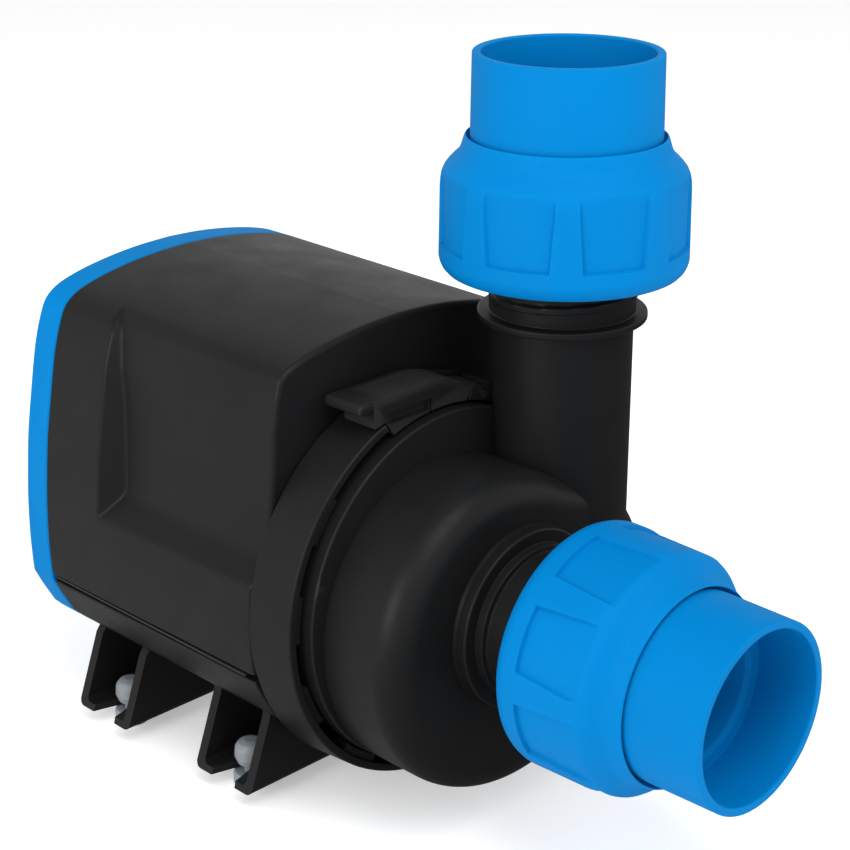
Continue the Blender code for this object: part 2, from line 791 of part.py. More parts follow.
def make_unions():
    for name, axis, centre in (
        ("inlet", "-y", (0, -INLET_NUT_D, 0)),
        ("outlet", "z", (PIPE_X, PIPE_Y, OUTLET_NUT_Z)),
    ):
        make_nut(f"{name}_nut", axis, centre, centre)
        make_tail(f"{name}_tail", axis, centre, centre)
        seal = ring_of_cord(15.4, 1.25, 12.8, axis, centre)
        part(f"{name}_seal", seal, "seal_rubber", centre)


# ---------------------------------------------------------------- motor and rotor


def make_rotor_well():
    """Thin can that keeps the water away from the motor, with its flange behind the volute."""
    profile = [
        (0, WELL_REAR_Y),
        (WELL_R - 1, WELL_REAR_Y),
        (WELL_R, WELL_REAR_Y - 1),
        (WELL_R, -44.9),
        (43.5, -44.9),
        (43.5, -48.0),
        (WELL_INNER_R, -48.0),
        (WELL_INNER_R, 11.0),
        (6.7, 11.0),
        (6.7, 4.0),
        (4.7, 4.0),
        (4.7, 12.8),
        (0, 12.8),
    ]
    part("rotor_well", turned(profile, segments=28), "black_plastic")
    part("volute_seal", ring_of_cord(38.7, 1.3, FLANGE_REAR_Y - 1.3, segments=36), "seal_rubber")


def make_stator():
    """Laminated ring with six teeth, and a coil on each tooth."""
    outline = []
    pitch = 360 / COILS
    for number in range(COILS):
        middle = 90 + pitch * number
        outline += [polar(20.0, middle - 20), polar(20.0, middle), polar(20.0, middle + 20)]
        outline += [polar(22.4, middle + 19), polar(22.8, middle + 9.5), polar(31.4, middle + 6.8)]
        outline += [polar(31.4, middle + pitch / 2), polar(31.4, middle + pitch - 6.8)]
        outline += [polar(22.8, middle + pitch - 9.5), polar(22.4, middle + pitch - 19)]
    block = cylinder(STATOR_R, STATOR_FRONT_Y, STATOR_REAR_Y, segments=36)
    core = part("stator_core", block, "lamination")
    cut(core, "stator_slots", prism(outline, -40, 20))


def make_coils():
    """Each coil is a ring of copper wound round one tooth."""
    # radius, half width and reach past the core, for the inner and outer face of the winding
    winding = ((23.6, 4.3, 1.0), (23.6, 6.6, 4.2), (29.2, 7.4, 4.2), (29.2, 4.3, 1.0))
    for number in range(COILS):
        middle = 90 + 360 * number / COILS
        ux, uz = polar(1, middle)
        rings = []
        for radial, half, reach in winding:
            ring = []
            low = STATOR_FRONT_Y - reach
            high = STATOR_REAR_Y + reach
            corner = 1.5
            for across, y in (
                (-half, low + corner),
                (-half + corner, low),
                (half - corner, low),
                (half, low + corner),
                (half, high - corner),
                (half - corner, high),
                (-half + corner, high),
                (-half, high - corner),
            ):
                ring.append((ux * radial - uz * across, y, uz * radial + ux * across))
            rings.append(ring)
        part(f"coil_{number + 1}", grid(rings, closed=True), "copper")


def box(x, y, z):
    """A block between two values on each axis."""
    return slab([(x[0], y[0]), (x[1], y[0]), (x[1], y[1]), (x[0], y[1])], z[0], z[1])


def make_driver():
    """Circuit board of the motor driver, with two capacitors."""
    part("driver_board", box((-36, 36), (-30, 30), (44.0, 45.6)), "board")
    for number, x in enumerate((-14, 14)):
        profile = [(0, 45.9), (5.6, 45.9), (6.0, 46.4), (6.0, 57.0), (5.4, 57.6), (0, 57.6)]
        can = turned(profile, "z", (x, -8, 0), 20)
        part(f"capacitor_{number + 1}", can, "capacitor", (x, -8, 45.9))


def make_shaft():
    part("shaft", cylinder(SHAFT_R, -84.6, 12.3, segments=16), "ceramic")
    part("rear_bush", tube(4.4, 3.3, 4.4, 12.5, segments=16), "ceramic")
    part("front_bush", tube(4.6, 3.3, -85.0, -76.9, segments=16), "ceramic")
    part("rear_thrust_washer", tube(6.0, 3.4, 2.2, 3.6, segments=16), "ceramic")
    part("front_thrust_washer", tube(6.0, 3.4, -76.0, -74.7, segments=16), "ceramic")


def vane(start):
    """One backward-curved blade of the impeller."""
    inner = []
    outer = []
    for k in range(5):
        radius = 8.6 + 20.2 * k / 4
        angle = start - 46 * (k / 4) ** 0.8
        inner.append(polar(radius, angle - 52 / radius))
        outer.append(polar(radius, angle + 52 / radius))
    return prism(inner + list(reversed(outer)), -73.6, -51.4)


def make_rotor():
    """Ring magnet and impeller on a common sleeve, turning on the fixed shaft."""
    part("rotor_sleeve", tube(6.8, 3.4, -74.4, 1.8, segments=28), "black_plastic")
    part("rotor_magnet", tube(15.9, 7.1, -30, 0, segments=32), "magnet")
    disc = [(7.1, -48.6), (9.6, -48.6), (9.6, -50.2), (29.4, -50.4), (29.4, -52.2)]
    hub = [(9.6, -52.4), (8.9, -74.0), (7.1, -74.0)]
    impeller = part("impeller", turned(disc + hub, segments=28), "black_plastic")
    for number in range(6):
        join(impeller, f"vane_{number + 1}", vane(60 * number))


def main():
    clear_scene()
    new_collection(PARTS)
    new_collection(CUTTERS).hide_render = True
    make_motor_cover()
    make_base_frame()
    make_rear_cover()
    make_cover_screws()
    make_cable_gland()
    make_foot_pads()
    make_latch()
    make_volute()
    make_unions()
    make_rotor_well()
    make_stator()
    make_coils()
    make_driver()
    make_shaft()
    make_rotor()


main()
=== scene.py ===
"""Looks of the wave maker pump: fine shells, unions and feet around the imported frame.

Lengths are in millimetres in the pump's own frame: the rotor turns on the Y axis, the inlet
faces -Y and the outlet points to +Z. placed() turns them into metres in the row frame.
"""

import math

import bmesh
import bpy
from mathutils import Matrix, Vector


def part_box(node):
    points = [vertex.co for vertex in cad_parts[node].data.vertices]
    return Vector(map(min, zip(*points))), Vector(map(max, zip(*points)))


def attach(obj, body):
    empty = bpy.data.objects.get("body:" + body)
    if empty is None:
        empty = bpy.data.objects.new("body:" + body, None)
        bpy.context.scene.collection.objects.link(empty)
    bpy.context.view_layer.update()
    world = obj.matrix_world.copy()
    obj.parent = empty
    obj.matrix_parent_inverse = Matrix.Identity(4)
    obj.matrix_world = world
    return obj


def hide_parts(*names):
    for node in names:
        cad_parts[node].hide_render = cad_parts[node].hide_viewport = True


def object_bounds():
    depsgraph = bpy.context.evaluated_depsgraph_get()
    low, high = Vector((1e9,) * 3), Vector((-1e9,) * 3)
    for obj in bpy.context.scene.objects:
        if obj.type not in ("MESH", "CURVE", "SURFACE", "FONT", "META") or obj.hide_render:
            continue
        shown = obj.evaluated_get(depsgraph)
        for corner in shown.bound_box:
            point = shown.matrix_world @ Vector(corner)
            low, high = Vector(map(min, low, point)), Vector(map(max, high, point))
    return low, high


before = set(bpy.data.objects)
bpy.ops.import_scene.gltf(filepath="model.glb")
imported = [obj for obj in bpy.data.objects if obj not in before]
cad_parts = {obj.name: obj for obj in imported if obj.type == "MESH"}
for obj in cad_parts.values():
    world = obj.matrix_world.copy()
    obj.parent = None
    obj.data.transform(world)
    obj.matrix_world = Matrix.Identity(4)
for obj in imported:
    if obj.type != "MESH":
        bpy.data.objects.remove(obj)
CAD_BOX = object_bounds()


# ---------------------------------------------------------------- places from the frame


def middle(node):
    """Middle of a CAD node in the row frame, in metres."""
    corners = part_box(node)
    return (corners[0] + corners[1]) / 2


# The pump's origin is on the rotor's axis, at the rear end of the stator.
ORIGIN = Vector((middle("shaft").x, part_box("stator_core")[1].y, middle("shaft").z))


def low(node):
    return (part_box(node)[0] - ORIGIN) * 1000


def high(node):
    return (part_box(node)[1] - ORIGIN) * 1000


def centre_of(node):
    return (low(node) + high(node)) / 2


def placed(point):
    return ORIGIN + Vector(point) / 1000


# Body
FLOOR_Z = low("foot_pad_1").z
BODY_FRONT_Y = low("motor_cover").y
BODY_REAR_Y = high("motor_cover").y
REAR_FACE_Y = high("rear_cover").y
BODY_DRAFT = 0.985
SEAM_TOP_Z = -13.4
SEAM_BOTTOM_Z = -15.2
WALL = 3.0
SCREWS = [(centre_of(f"cover_screw_{n}").x, centre_of(f"cover_screw_{n}").z) for n in (1, 2, 3, 4)]

# Bayonet ring and volute
RING_R = 50.0
RING_REAR_R = 50.8
RING_INNER_R = 47.9
RING_FRONT_Y = low("base_frame").y
BULKHEAD_FRONT_Y = -44.6
BULKHEAD_REAR_Y = -42.0
BULKHEAD_BORE_R = 20.6
LUG_PITCH = 30
FIRST_LUG = 144
LUGS = 10
LATCH_GAP = (69.5, 111.8)
RING_LUG_HALF = 7.2
VOLUTE_LUG_HALF = 6.5
FLANGE_R = 45.4
FLANGE_FRONT_Y = -58.0
FLANGE_REAR_Y = -48.3
CUTWATER_ANGLE = 80.0
CUTWATER_R = 33.8
SPIRAL_TURN = 232.0
SPIRAL_CURVE = 1.35
SPIRAL_RETURN = 62
CASING_R = 48.75
CASING_REAR_Y = -56.9
CASING_FRONT_Y = -81.5
CASING_ROUNDING = 7.5
CHAMBER_R = 31.3
CHAMBER_FRONT_Y = -78.0
BORE_R = 13.5
PIPE_X = centre_of("outlet_tail").x
PIPE_Y = centre_of("outlet_tail").y
PIPE_R = 17.4

# Unions
NUT_START = 0.2
INLET_NUT_D = -high("inlet_nut").y - NUT_START
OUTLET_NUT_Z = low("outlet_nut").z - NUT_START
NUT_LENGTH = 32.7
TAIL_END = high("outlet_tail").z - OUTLET_NUT_Z
SOCKET_R = 20.3
SOCKET_DEPTH = 16.0
NECK_R = 17.9
NECK_END = 11.3
THREAD_PITCH = 5.0
THREAD_CREST_R = 19.2
THREAD_BEFORE = 3.2
THREAD_AFTER = 9.3
THREAD_LEAD = 0.6

# Feet, gland and latch
KNOB_X = [centre_of(f"foot_pad_{n}").x for n in (3, 4)]
FOOT_Y = [centre_of(f"foot_pad_{n}").y for n in (1, 2)]
FOOT_OUTER_X = (49.2, 47.4)
FOOT_HALF_WIDTH = 10.8
FOOT_PLATE_Z = -50.0
FOOT_PLATE = 1.8
GUSSET = 2.8
GLAND_X = 20.0
GLAND_Z = -14.0
GLAND_END_Y = high("cable_gland_nut").y
LATCH_PIN_X = centre_of("latch_pin").x
LATCH_PIN_Z = centre_of("latch_pin").z

ROUND = 144
SAME_PLACE = 0.00002
SHARP_ANGLE = 32


# ---------------------------------------------------------------- points and curves


def polar(radius, degrees):
    angle = math.radians(degrees)
    return radius * math.cos(angle), radius * math.sin(angle)


def smooth_step(value, start, end):
    t = min(1.0, max(0.0, (value - start) / (end - start)))
    return t * t * (3 - 2 * t)


def smooth_min(a, b, radius):
    """The lesser of two lengths, with a round corner where they cross."""
    h = max(radius - abs(a - b), 0.0) / radius
    return min(a, b) - h * h * radius / 4


def smooth_max(a, b, radius):
    return -smooth_min(-a, -b, radius)


def filleted(points, closed=True, steps=4):
    """Points (u, v) or (u, v, radius): each corner that has a radius becomes an arc."""
    made = []
    count = len(points)
    for i, corner in enumerate(points):
        at = Vector(corner[:2])
        inner = closed or 0 < i < count - 1
        if len(corner) < 3 or corner[2] <= 0 or not inner:
            made.append((at.x, at.y))
            continue
        before = Vector(points[i - 1][:2]) - at
        after = Vector(points[(i + 1) % count][:2]) - at
        room = 0.48 * min(before.length, after.length)
        before.normalize()
        after.normalize()
        half = before.angle(after) / 2
        if half > 1.54:
            made.append((at.x, at.y))
            continue
        reach = min(corner[2] / math.tan(half), room)
        radius = reach * math.tan(half)
        centre = at + (before + after).normalized() * radius / math.sin(half)
        first = at + before * reach - centre
        last = at + after * reach - centre
        turn = first.angle_signed(last)
        for k in range(steps + 1):
            angle = -turn * k / steps
            c, s = math.cos(angle), math.sin(angle)
            made.append((centre.x + c * first.x - s * first.y, centre.y + s * first.x + c * first.y))
    return made


def curved(points, step=1.2):
    """A smooth open curve through the points, as closely spaced points."""
    made = []
    for i in range(len(points) - 1):
        p0 = Vector(points[max(i - 1, 0)])
        p1 = Vector(points[i])
        p2 = Vector(points[i + 1])
        p3 = Vector(points[min(i + 2, len(points) - 1)])
        # Centripetal spacing keeps short and long stretches free of overshoot.
        t0 = math.sqrt(max((p1 - p0).length, 1e-6))
        t1 = math.sqrt((p2 - p1).length)
        t2 = math.sqrt(max((p3 - p2).length, 1e-6))
        m1 = (p2 - p1) / t1 - (p2 - p0) / (t0 + t1) + (p1 - p0) / t0
        m2 = (p3 - p2) / t2 - (p3 - p1) / (t1 + t2) + (p2 - p1) / t1
        m1 *= t1
        m2 *= t1
        count = max(1, round((p2 - p1).length / step))
        for k in range(count):
            t = k / count
            a = 2 * t**3 - 3 * t**2 + 1
            b = t**3 - 2 * t**2 + t
            c = -2 * t**3 + 3 * t**2
            d = t**3 - t**2
            made.append(tuple(a * p1 + b * m1 + c * p2 + d * m2))
    made.append(tuple(points[-1]))
    return made


def inset(outline, distance):
    """An outline moved inwards by a distance."""
    count = len(outline)
    area = 0.0
    for i in range(count):
        (x0, z0), (x1, z1) = outline[i], outline[(i + 1) % count]
        area += x0 * z1 - x1 * z0
    side = 1 if area > 0 else -1
    moved = []
    for i in range(count):
        before, here, after = outline[i - 1], outline[i], outline[(i + 1) % count]
        first = Vector((here[0] - before[0], here[1] - before[1])).normalized()
        second = Vector((after[0] - here[0], after[1] - here[1])).normalized()
        normal = Vector((-first.y - second.y, first.x + second.x)).normalized()
        reach = distance / max(0.3, normal.dot(Vector((-first.y, first.x))))
        moved.append((here[0] + side * normal.x * reach, here[1] + side * normal.y * reach))
    return moved


def mirrored(right):
    """A whole outline from its right half, listed from the bottom to the top."""
    left = [(-x, z) for x, z in reversed(right) if x > 1e-6]
    return list(right) + left


# ---------------------------------------------------------------- solids


def grid(rings, closed):
    """A solid through rings of equal length: a closed tube, or a body with two flat ends."""
    count = len(rings[0])
    points = [point for ring in rings for point in ring]
    faces = []
    for k in range(len(rings) if closed else len(rings) - 1):
        start = k * count
        end = (k + 1) % len(rings) * count
        for i in range(count):
            j = (i + 1) % count
            faces.append((start + i, start + j, end + j, end + i))
    if not closed:
        faces.append(tuple(range(count)))
        faces.append(tuple(range(len(points) - count, len(points))))
    return points, faces


def on_axis(axis, centre, u, v, along):
    """A point at (u, v) across the axis and a distance along it: "y", "-y" or "z"."""
    x, y, z = centre
    if axis == "z":
        return x + u, y + v, z + along
    return x + u, y + (along if axis == "y" else -along), z + v


def turned(profile, axis="y", centre=(0, 0, 0), segments=ROUND, shape=None):
    """A lathe shape from (radius, along). shape(radius, along, degrees) may change a radius."""
    tube = all(row[0] > 0 for row in profile)
    rows = profile if tube else [row for row in profile if row[0] > 0]
    rings = []
    for radius, along in rows:
        ring = []
        for i in range(segments):
            angle = 360 * i / segments
            r = shape(radius, along, angle) if shape else radius
            u, v = polar(r, angle)
            ring.append(on_axis(axis, centre, u, v, along))
        rings.append(ring)
    return grid(rings, closed=tube)


def cylinder(radius, start, end, axis="y", centre=(0, 0, 0), segments=ROUND, edge=0.0):
    profile = [(0, start), (radius, start, edge), (radius, end, edge), (0, end)]
    return turned(filleted(profile, closed=False), axis, centre, segments)


def tube(outer, inner, start, end, segments):
    profile = [(outer, start), (outer, end), (inner, end), (inner, start)]
    return turned(filleted(profile), segments=segments)


def block(outline, start, end, edge=0.0, low_scale=1.0):
    """An outline in X and Z extruded along Y, rounded and scaled at its ends."""
    rows = [(start, 0.0), (end, 0.0)]
    if edge:
        steps = 3
        turns = [math.pi / 2 * k / steps for k in range(steps + 1)]
        arc = [(edge * (1 - math.sin(t)), edge * (1 - math.cos(t))) for t in turns]
        rows = [(start + along, inwards) for along, inwards in reversed(arc)]
        rows += [(end - along, inwards) for along, inwards in arc]
    rings = []
    for y, distance in rows:
        scale = 1 - (1 - low_scale) * (end - y) / (end - start)
        shrunk = inset(outline, distance) if distance > 1e-6 else outline
        rings.append([(x * scale, y, z * (scale if z > 0 else 1)) for x, z in shrunk])
    return grid(rings, closed=False)


def slab(outline, start, end):
    """An outline in X and Y, extruded along Z."""
    rings = [[(x, y, z) for x, y in outline] for z in (start, end)]
    return grid(rings, closed=False)


def sector(inner, outer, start, end, front, rear, edge=0.25):
    """Part of a tube round the Y axis, between two angles."""
    steps = max(2, round((end - start) / 2))
    angles = [start + (end - start) * i / steps for i in range(steps + 1)]
    outline = [polar(outer, a) for a in angles]
    outline += [polar(inner, a) for a in reversed(angles)]
    return block(outline, front, rear, edge)


def new_object(name, shape):
    points, faces = shape
    mesh = bpy.data.meshes.new(name)
    mesh.from_pydata([placed(p) for p in points], [], faces)
    work = bmesh.new()
    work.from_mesh(mesh)
    bmesh.ops.recalc_face_normals(work, faces=work.faces)
    work.to_mesh(mesh)
    work.free()
    obj = bpy.data.objects.new(name, mesh)
    bpy.context.scene.collection.objects.link(obj)
    return obj


def settle(obj):
    """Puts what the modifiers make into the object's own mesh."""
    graph = bpy.context.evaluated_depsgraph_get()
    mesh = bpy.data.meshes.new_from_object(obj.evaluated_get(graph))
    old = obj.data
    obj.modifiers.clear()
    obj.data = mesh
    bpy.data.meshes.remove(old)
    return obj


def combined(obj, shapes, operation):
    """Joins solids to the object, cuts them from it, or keeps what they share."""
    helpers = []
    for shape in shapes:
        other = shape if isinstance(shape, bpy.types.Object) else new_object("helper", shape)
        helpers.append(other)
        modifier = obj.modifiers.new("boolean", "BOOLEAN")
        modifier.operation = operation
        modifier.object = other
        modifier.solver = "MANIFOLD"
    settle(obj)
    for other in helpers:
        mesh = other.data
        bpy.data.objects.remove(other)
        bpy.data.meshes.remove(mesh)


def join(obj, *shapes):
    combined(obj, shapes, "UNION")


def cut(obj, *shapes):
    combined(obj, shapes, "DIFFERENCE")


def bevelled(obj, width):
    """Rounds the edges of a simple solid."""
    modifier = obj.modifiers.new("bevel", "BEVEL")
    modifier.width = width / 1000
    modifier.segments = 3
    modifier.limit_method = "ANGLE"
    modifier.angle_limit = math.radians(SHARP_ANGLE)
    modifier.use_clamp_overlap = True
    return settle(obj)


def cleaned(obj):
    """Merges the nearly equal points that Booleans leave, which would spoil the shading."""
    work = bmesh.new()
    work.from_mesh(obj.data)
    bmesh.ops.remove_doubles(work, verts=work.verts, dist=SAME_PLACE)
    bmesh.ops.dissolve_degenerate(work, edges=work.edges, dist=SAME_PLACE / 2)
    work.to_mesh(obj.data)
    work.free()


def finished(obj, body, material, nodes, sharp=SHARP_ANGLE):
    """Shades a piece, gives it its material, and puts it in the place of its CAD nodes."""
    cleaned(obj)
    obj.data.shade_smooth()
    obj.data.set_sharp_from_angle(angle=math.radians(sharp))
    weighted = obj.modifiers.new("weighted_normals", "WEIGHTED_NORMAL")
    weighted.keep_sharp = True
    weighted.weight = 80
    obj.data.materials.clear()
    obj.data.materials.append(material)
    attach(obj, body)
    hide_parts(*nodes)


# ---------------------------------------------------------------- materials

# Height of a material's grain, in metres
GRAIN = 0.0001
WHITE = (1.0, 1.0, 1.0, 1.0)


class Nodes:
    """A material's node tree, with short ways to add to it."""

    def __init__(self, name):
        self.material = bpy.data.materials.new(name)
        self.material.use_nodes = True
        self.tree = self.material.node_tree
        self.shader = self.tree.nodes["Principled BSDF"]
        self.place = self.add("ShaderNodeTexCoord").outputs["Object"]

    def add(self, kind, **values):
        node = self.tree.nodes.new(kind)
        for key, value in values.items():
            setattr(node, key, value)
        return node

    def link(self, source, target):
        self.tree.links.new(source, target)

    def feed(self, source, socket):
        self.link(source, self.shader.inputs[socket])

    def set(self, socket, value):
        self.shader.inputs[socket].default_value = value

    def noise(self, scale, detail=3.0, roughness=0.55):
        node = self.add("ShaderNodeTexNoise")
        self.link(self.place, node.inputs["Vector"])
        node.inputs["Scale"].default_value = scale
        node.inputs["Detail"].default_value = detail
        node.inputs["Roughness"].default_value = roughness
        return node.outputs["Fac"]

    def ranged(self, source, low_out, high_out, low_in=0.3, high_in=0.7):
        node = self.add("ShaderNodeMapRange")
        self.link(source, node.inputs["Value"])
        node.inputs["From Min"].default_value = low_in
        node.inputs["From Max"].default_value = high_in
        node.inputs["To Min"].default_value = low_out
        node.inputs["To Max"].default_value = high_out
        return node.outputs["Result"]

    def mixed(self, factor, first, second):
        node = self.add("ShaderNodeMix", data_type="RGBA")
        self.link(factor, node.inputs["Factor"])
        # Inputs 6 and 7 are the node's two colours, and output 2 is the mixed one.
        for socket, colour in ((node.inputs[6], first), (node.inputs[7], second)):
            if isinstance(colour, tuple):
                socket.default_value = (*colour, 1.0)
            else:
                self.link(colour, socket)
        return node.outputs[2]

    def clouded(self, scale, first, second, detail=3.0):
        """A colour that drifts between two shades."""
        return self.mixed(self.ranged(self.noise(scale, detail), 0.0, 1.0), first, second)

    def bump(self, height, strength, distance=GRAIN):
        node = self.add("ShaderNodeBump")
        self.link(height, node.inputs["Height"])
        node.inputs["Strength"].default_value = strength
        node.inputs["Distance"].default_value = distance
        self.feed(node.outputs["Normal"], "Normal")

    def painted_edge_highlights(self, colour, edge_highlight_colour):
        """Convex edges painted paler: a painted highlight along the edges, standing in for the light
        that rounded edges catch.
        """
        edge = self.add("ShaderNodeNewGeometry").outputs["Pointiness"]
        return self.mixed(self.ranged(edge, 0.0, 0.5, 0.52, 0.60), colour, edge_highlight_colour)


def moulded_plastic(name, dark, pale, edge_highlight_colour, roughness, specular, grain):
    """Injection-moulded plastic: a fine spark-eroded grain and a slightly uneven sheen."""
    n = Nodes(name)
    # The base colour carries a painted highlight on convex edges.
    n.feed(n.painted_edge_highlights(n.clouded(38.0, dark, pale, 4.0), edge_highlight_colour), "Base Color")
    uneven = 0.045
    sheen = n.ranged(n.noise(90.0, 5.0, 0.6), roughness - uneven, roughness + uneven)
    n.feed(sheen, "Roughness")
    n.bump(n.noise(2600.0, 2.0, 0.5), grain, 0.00006)
    n.set("Specular IOR Level", specular)
    return n.material


def mottled(name, colour, roughness, grain):
    """A node tree from colour (scale, dark, pale), roughness (scale, low, high) and grain."""
    n = Nodes(name)
    n.feed(n.clouded(*colour), "Base Color")
    scale, low_out, high_out = roughness
    n.feed(n.ranged(n.noise(scale), low_out, high_out), "Roughness")
    scale, strength = grain
    n.bump(n.noise(scale), strength)
    return n


def silicone():
    shades = (120.0, (0.17, 0.19, 0.205), (0.23, 0.25, 0.27))
    n = mottled("silicone_feet", shades, (300.0, 0.36, 0.52), (1500.0, 0.12))
    n.set("Subsurface Weight", 0.55)
    n.set("Subsurface Scale", 0.003)
    n.set("Subsurface Radius", (1.0, 1.0, 1.0))
    return n.material


def rubber():
    shades = (200.0, (0.008, 0.008, 0.008), (0.018, 0.018, 0.018))
    return mottled("seal_rubber", shades, (400.0, 0.5, 0.7), (2500.0, 0.2)).material


def ceramic():
    shades = (160.0, (0.72, 0.71, 0.67), (0.84, 0.83, 0.80))
    return mottled("polished_ceramic", shades, (500.0, 0.14, 0.26), (1200.0, 0.05)).material


def sintered_magnet():
    shades = (700.0, (0.020, 0.020, 0.022), (0.060, 0.060, 0.065))
    return mottled("sintered_magnet", shades, (900.0, 0.4, 0.62), (1800.0, 0.25)).material


def printed_sleeve():
    shades = (80.0, (0.010, 0.014, 0.05), (0.022, 0.028, 0.085))
    return mottled("capacitor_sleeve", shades, (260.0, 0.25, 0.4), (900.0, 0.08)).material


def stainless_steel():
    """Steel with fine lines along one axis."""
    n = Nodes("stainless_steel")
    mapping = n.add("ShaderNodeMapping")
    n.link(n.place, mapping.inputs["Vector"])
    mapping.inputs["Scale"].default_value = (1.0, 14.0, 14.0)
    n.place = mapping.outputs["Vector"]
    lines = n.noise(260.0, 4.0)
    shade = n.mixed(n.ranged(lines, 0.0, 1.0), (0.42, 0.42, 0.41), (0.62, 0.61, 0.60))
    n.feed(shade, "Base Color")
    n.feed(n.ranged(lines, 0.22, 0.40), "Roughness")
    n.bump(lines, 0.12)
    n.set("Metallic", 1.0)
    return n.material


def laminations():
    """Stacked steel sheets: fine dark lines across the rotor's axis."""
    n = Nodes("stator_laminations")
    wave = n.add("ShaderNodeTexWave", wave_type="BANDS", bands_direction="Y")
    n.link(n.place, wave.inputs["Vector"])
    wave.inputs["Scale"].default_value = 320.0
    wave.inputs["Distortion"].default_value = 0.3
    stripes = wave.outputs["Fac"]
    n.feed(n.mixed(stripes, (0.10, 0.10, 0.10), (0.42, 0.41, 0.40)), "Base Color")
    n.feed(n.ranged(n.noise(300.0), 0.32, 0.5), "Roughness")
    n.bump(stripes, 0.4)
    n.set("Metallic", 1.0)
    return n.material


def windings():
    """Enamelled copper wire, wound in close turns."""
    n = Nodes("copper_windings")
    wave = n.add("ShaderNodeTexWave", wave_type="RINGS", rings_direction="Y")
    n.link(n.place, wave.inputs["Vector"])
    wave.inputs["Scale"].default_value = 240.0
    turns = wave.outputs["Fac"]
    n.feed(n.mixed(turns, (0.20, 0.06, 0.02), (0.76, 0.30, 0.12)), "Base Color")
    n.feed(n.ranged(n.noise(500.0), 0.25, 0.4), "Roughness")
    n.bump(turns, 0.6, 3 * GRAIN)
    n.set("Metallic", 1.0)
    return n.material


def circuit_board():
    """Solder mask with traces that show through it."""
    n = Nodes("circuit_board")
    cells = n.add("ShaderNodeTexVoronoi", distance="CHEBYCHEV", feature="DISTANCE_TO_EDGE")
    n.link(n.place, cells.inputs["Vector"])
    cells.inputs["Scale"].default_value = 190.0
    traces = n.ranged(cells.outputs["Distance"], 1.0, 0.0, 0.03, 0.06)
    n.feed(n.mixed(traces, (0.006, 0.075, 0.026), (0.02, 0.17, 0.055)), "Base Color")
    n.feed(n.ranged(n.noise(400.0), 0.32, 0.46), "Roughness")
    n.bump(traces, 0.3)
    return n.material


# The third colour of each plastic is the painted highlight on its convex edges.
BLACK = moulded_plastic(
    "black_plastic", (0.0066, 0.0067, 0.0068), (0.0082, 0.0083, 0.0084), (0.027, 0.027, 0.027),
    roughness=0.42, specular=0.14, grain=0.10,
)
BLUE = moulded_plastic(
    "blue_plastic", (0.0, 0.156, 0.425), (0.0, 0.165, 0.445), (0.0, 0.188, 0.50),
    roughness=0.55, specular=0.03, grain=0.07,
)
SILICONE = silicone()
RUBBER = rubber()
STEEL = stainless_steel()
CERAMIC = ceramic()

CAD_MATERIALS = {
    "rotor_well": BLACK,
    "rotor_sleeve": BLACK,
    "impeller": BLACK,
    "latch_pin": STEEL,
    "stator_core": laminations(),
    "rotor_magnet": sintered_magnet(),
    "driver_board": circuit_board(),
}
CAD_MATERIALS |= dict.fromkeys([f"coil_{n + 1}" for n in range(6)], windings())
CAD_MATERIALS |= dict.fromkeys(["capacitor_1", "capacitor_2"], printed_sleeve())
CAD_MATERIALS |= dict.fromkeys(
    ["shaft", "rear_bush", "front_bush", "rear_thrust_washer", "front_thrust_washer"], CERAMIC
)
CAD_MATERIALS |= dict.fromkeys(
    ["volute_seal", "inlet_seal", "outlet_seal", "cable_gland_seal"], RUBBER
)


# ---------------------------------------------------------------- outlines of the body


def upper_half():
    """Right half of the motor cover's outline, from the seam to the crown."""
    return [
        (50.0, SEAM_TOP_Z), (50.5, -5), (50.3, 6), (49.7, 14), (48.7, 24), (46.9, 35),
        (44.4, 48), (42.4, 54.6), (40.6, 58.6), (38.6, 60.6), (36.0, 62.1), (30.0, 64.0),
        (20.0, 65.9), (10.0, 67.0), (0.0, 67.4),
    ]


def lower_half():
    """Right half of the base frame's outline, from the belly to the seam."""
    belly = [polar(43, angle) for angle in range(-90, -48, 3)]
    belly[0] = (0, -43)
    side = [(36.0, -30.8), (42.0, -28.2), (44.4, -25.8, 5), (47.8, -19.7), (50.0, SEAM_BOTTOM_Z)]
    return belly + side


# ---------------------------------------------------------------- housing


# Floor of the hollow in each side: distance from the middle of the pump, and height
HOLLOW_FLOOR = [
    (43.5, 20), (42.95, 26), (42.3, 32), (41.55, 40), (41.0, 48), (39.9, 54.6), (38.8, 58.6),
    (37.3, 60.6), (35.6, 62.1),
]
HOLLOW_LEDGE_X = 51.5
HOLLOW_LEDGE_Z = 7.6
HOLLOW_LEDGE_SLOPE = 0.92
HOLLOW_TOP_X, HOLLOW_TOP_Z = HOLLOW_FLOOR[-1]
HOLLOW_TOP_SLOPE = 0.5
HOLLOW_REAR_Y = 18.1
HOLLOW_REAR_LEAN = 0.022
HOLLOW_REAR_SLOPE = 0.92
HOLLOW_BEND = 1.8
HOLLOW_BEND_Z = (56, 62)
# Inside this distance from the middle, the cover is crown and has no hollow.
CROWN_X = 30
COVER_EDGE = 1.3
COVER_REAR_EDGE = 0.3
ROW_STEP = 1.5
CLOSE_ROW_STEP = 0.25
CLOSE_ROWS_Y = (11.0, 22.5)


def hollow_floor(z):
    """Distance of the hollow's floor from the middle of the pump, at a height."""
    if z >= HOLLOW_TOP_Z:
        return HOLLOW_TOP_X - (z - HOLLOW_TOP_Z) * HOLLOW_TOP_SLOPE
    ledge = HOLLOW_LEDGE_X - (z - HOLLOW_LEDGE_Z) * HOLLOW_LEDGE_SLOPE
    for (x0, z0), (x1, z1) in zip(HOLLOW_FLOOR, HOLLOW_FLOOR[1:]):
        if z <= z1:
            break
    return smooth_max(ledge, x0 + (x1 - x0) * (z - z0) / (z1 - z0), 1.6)


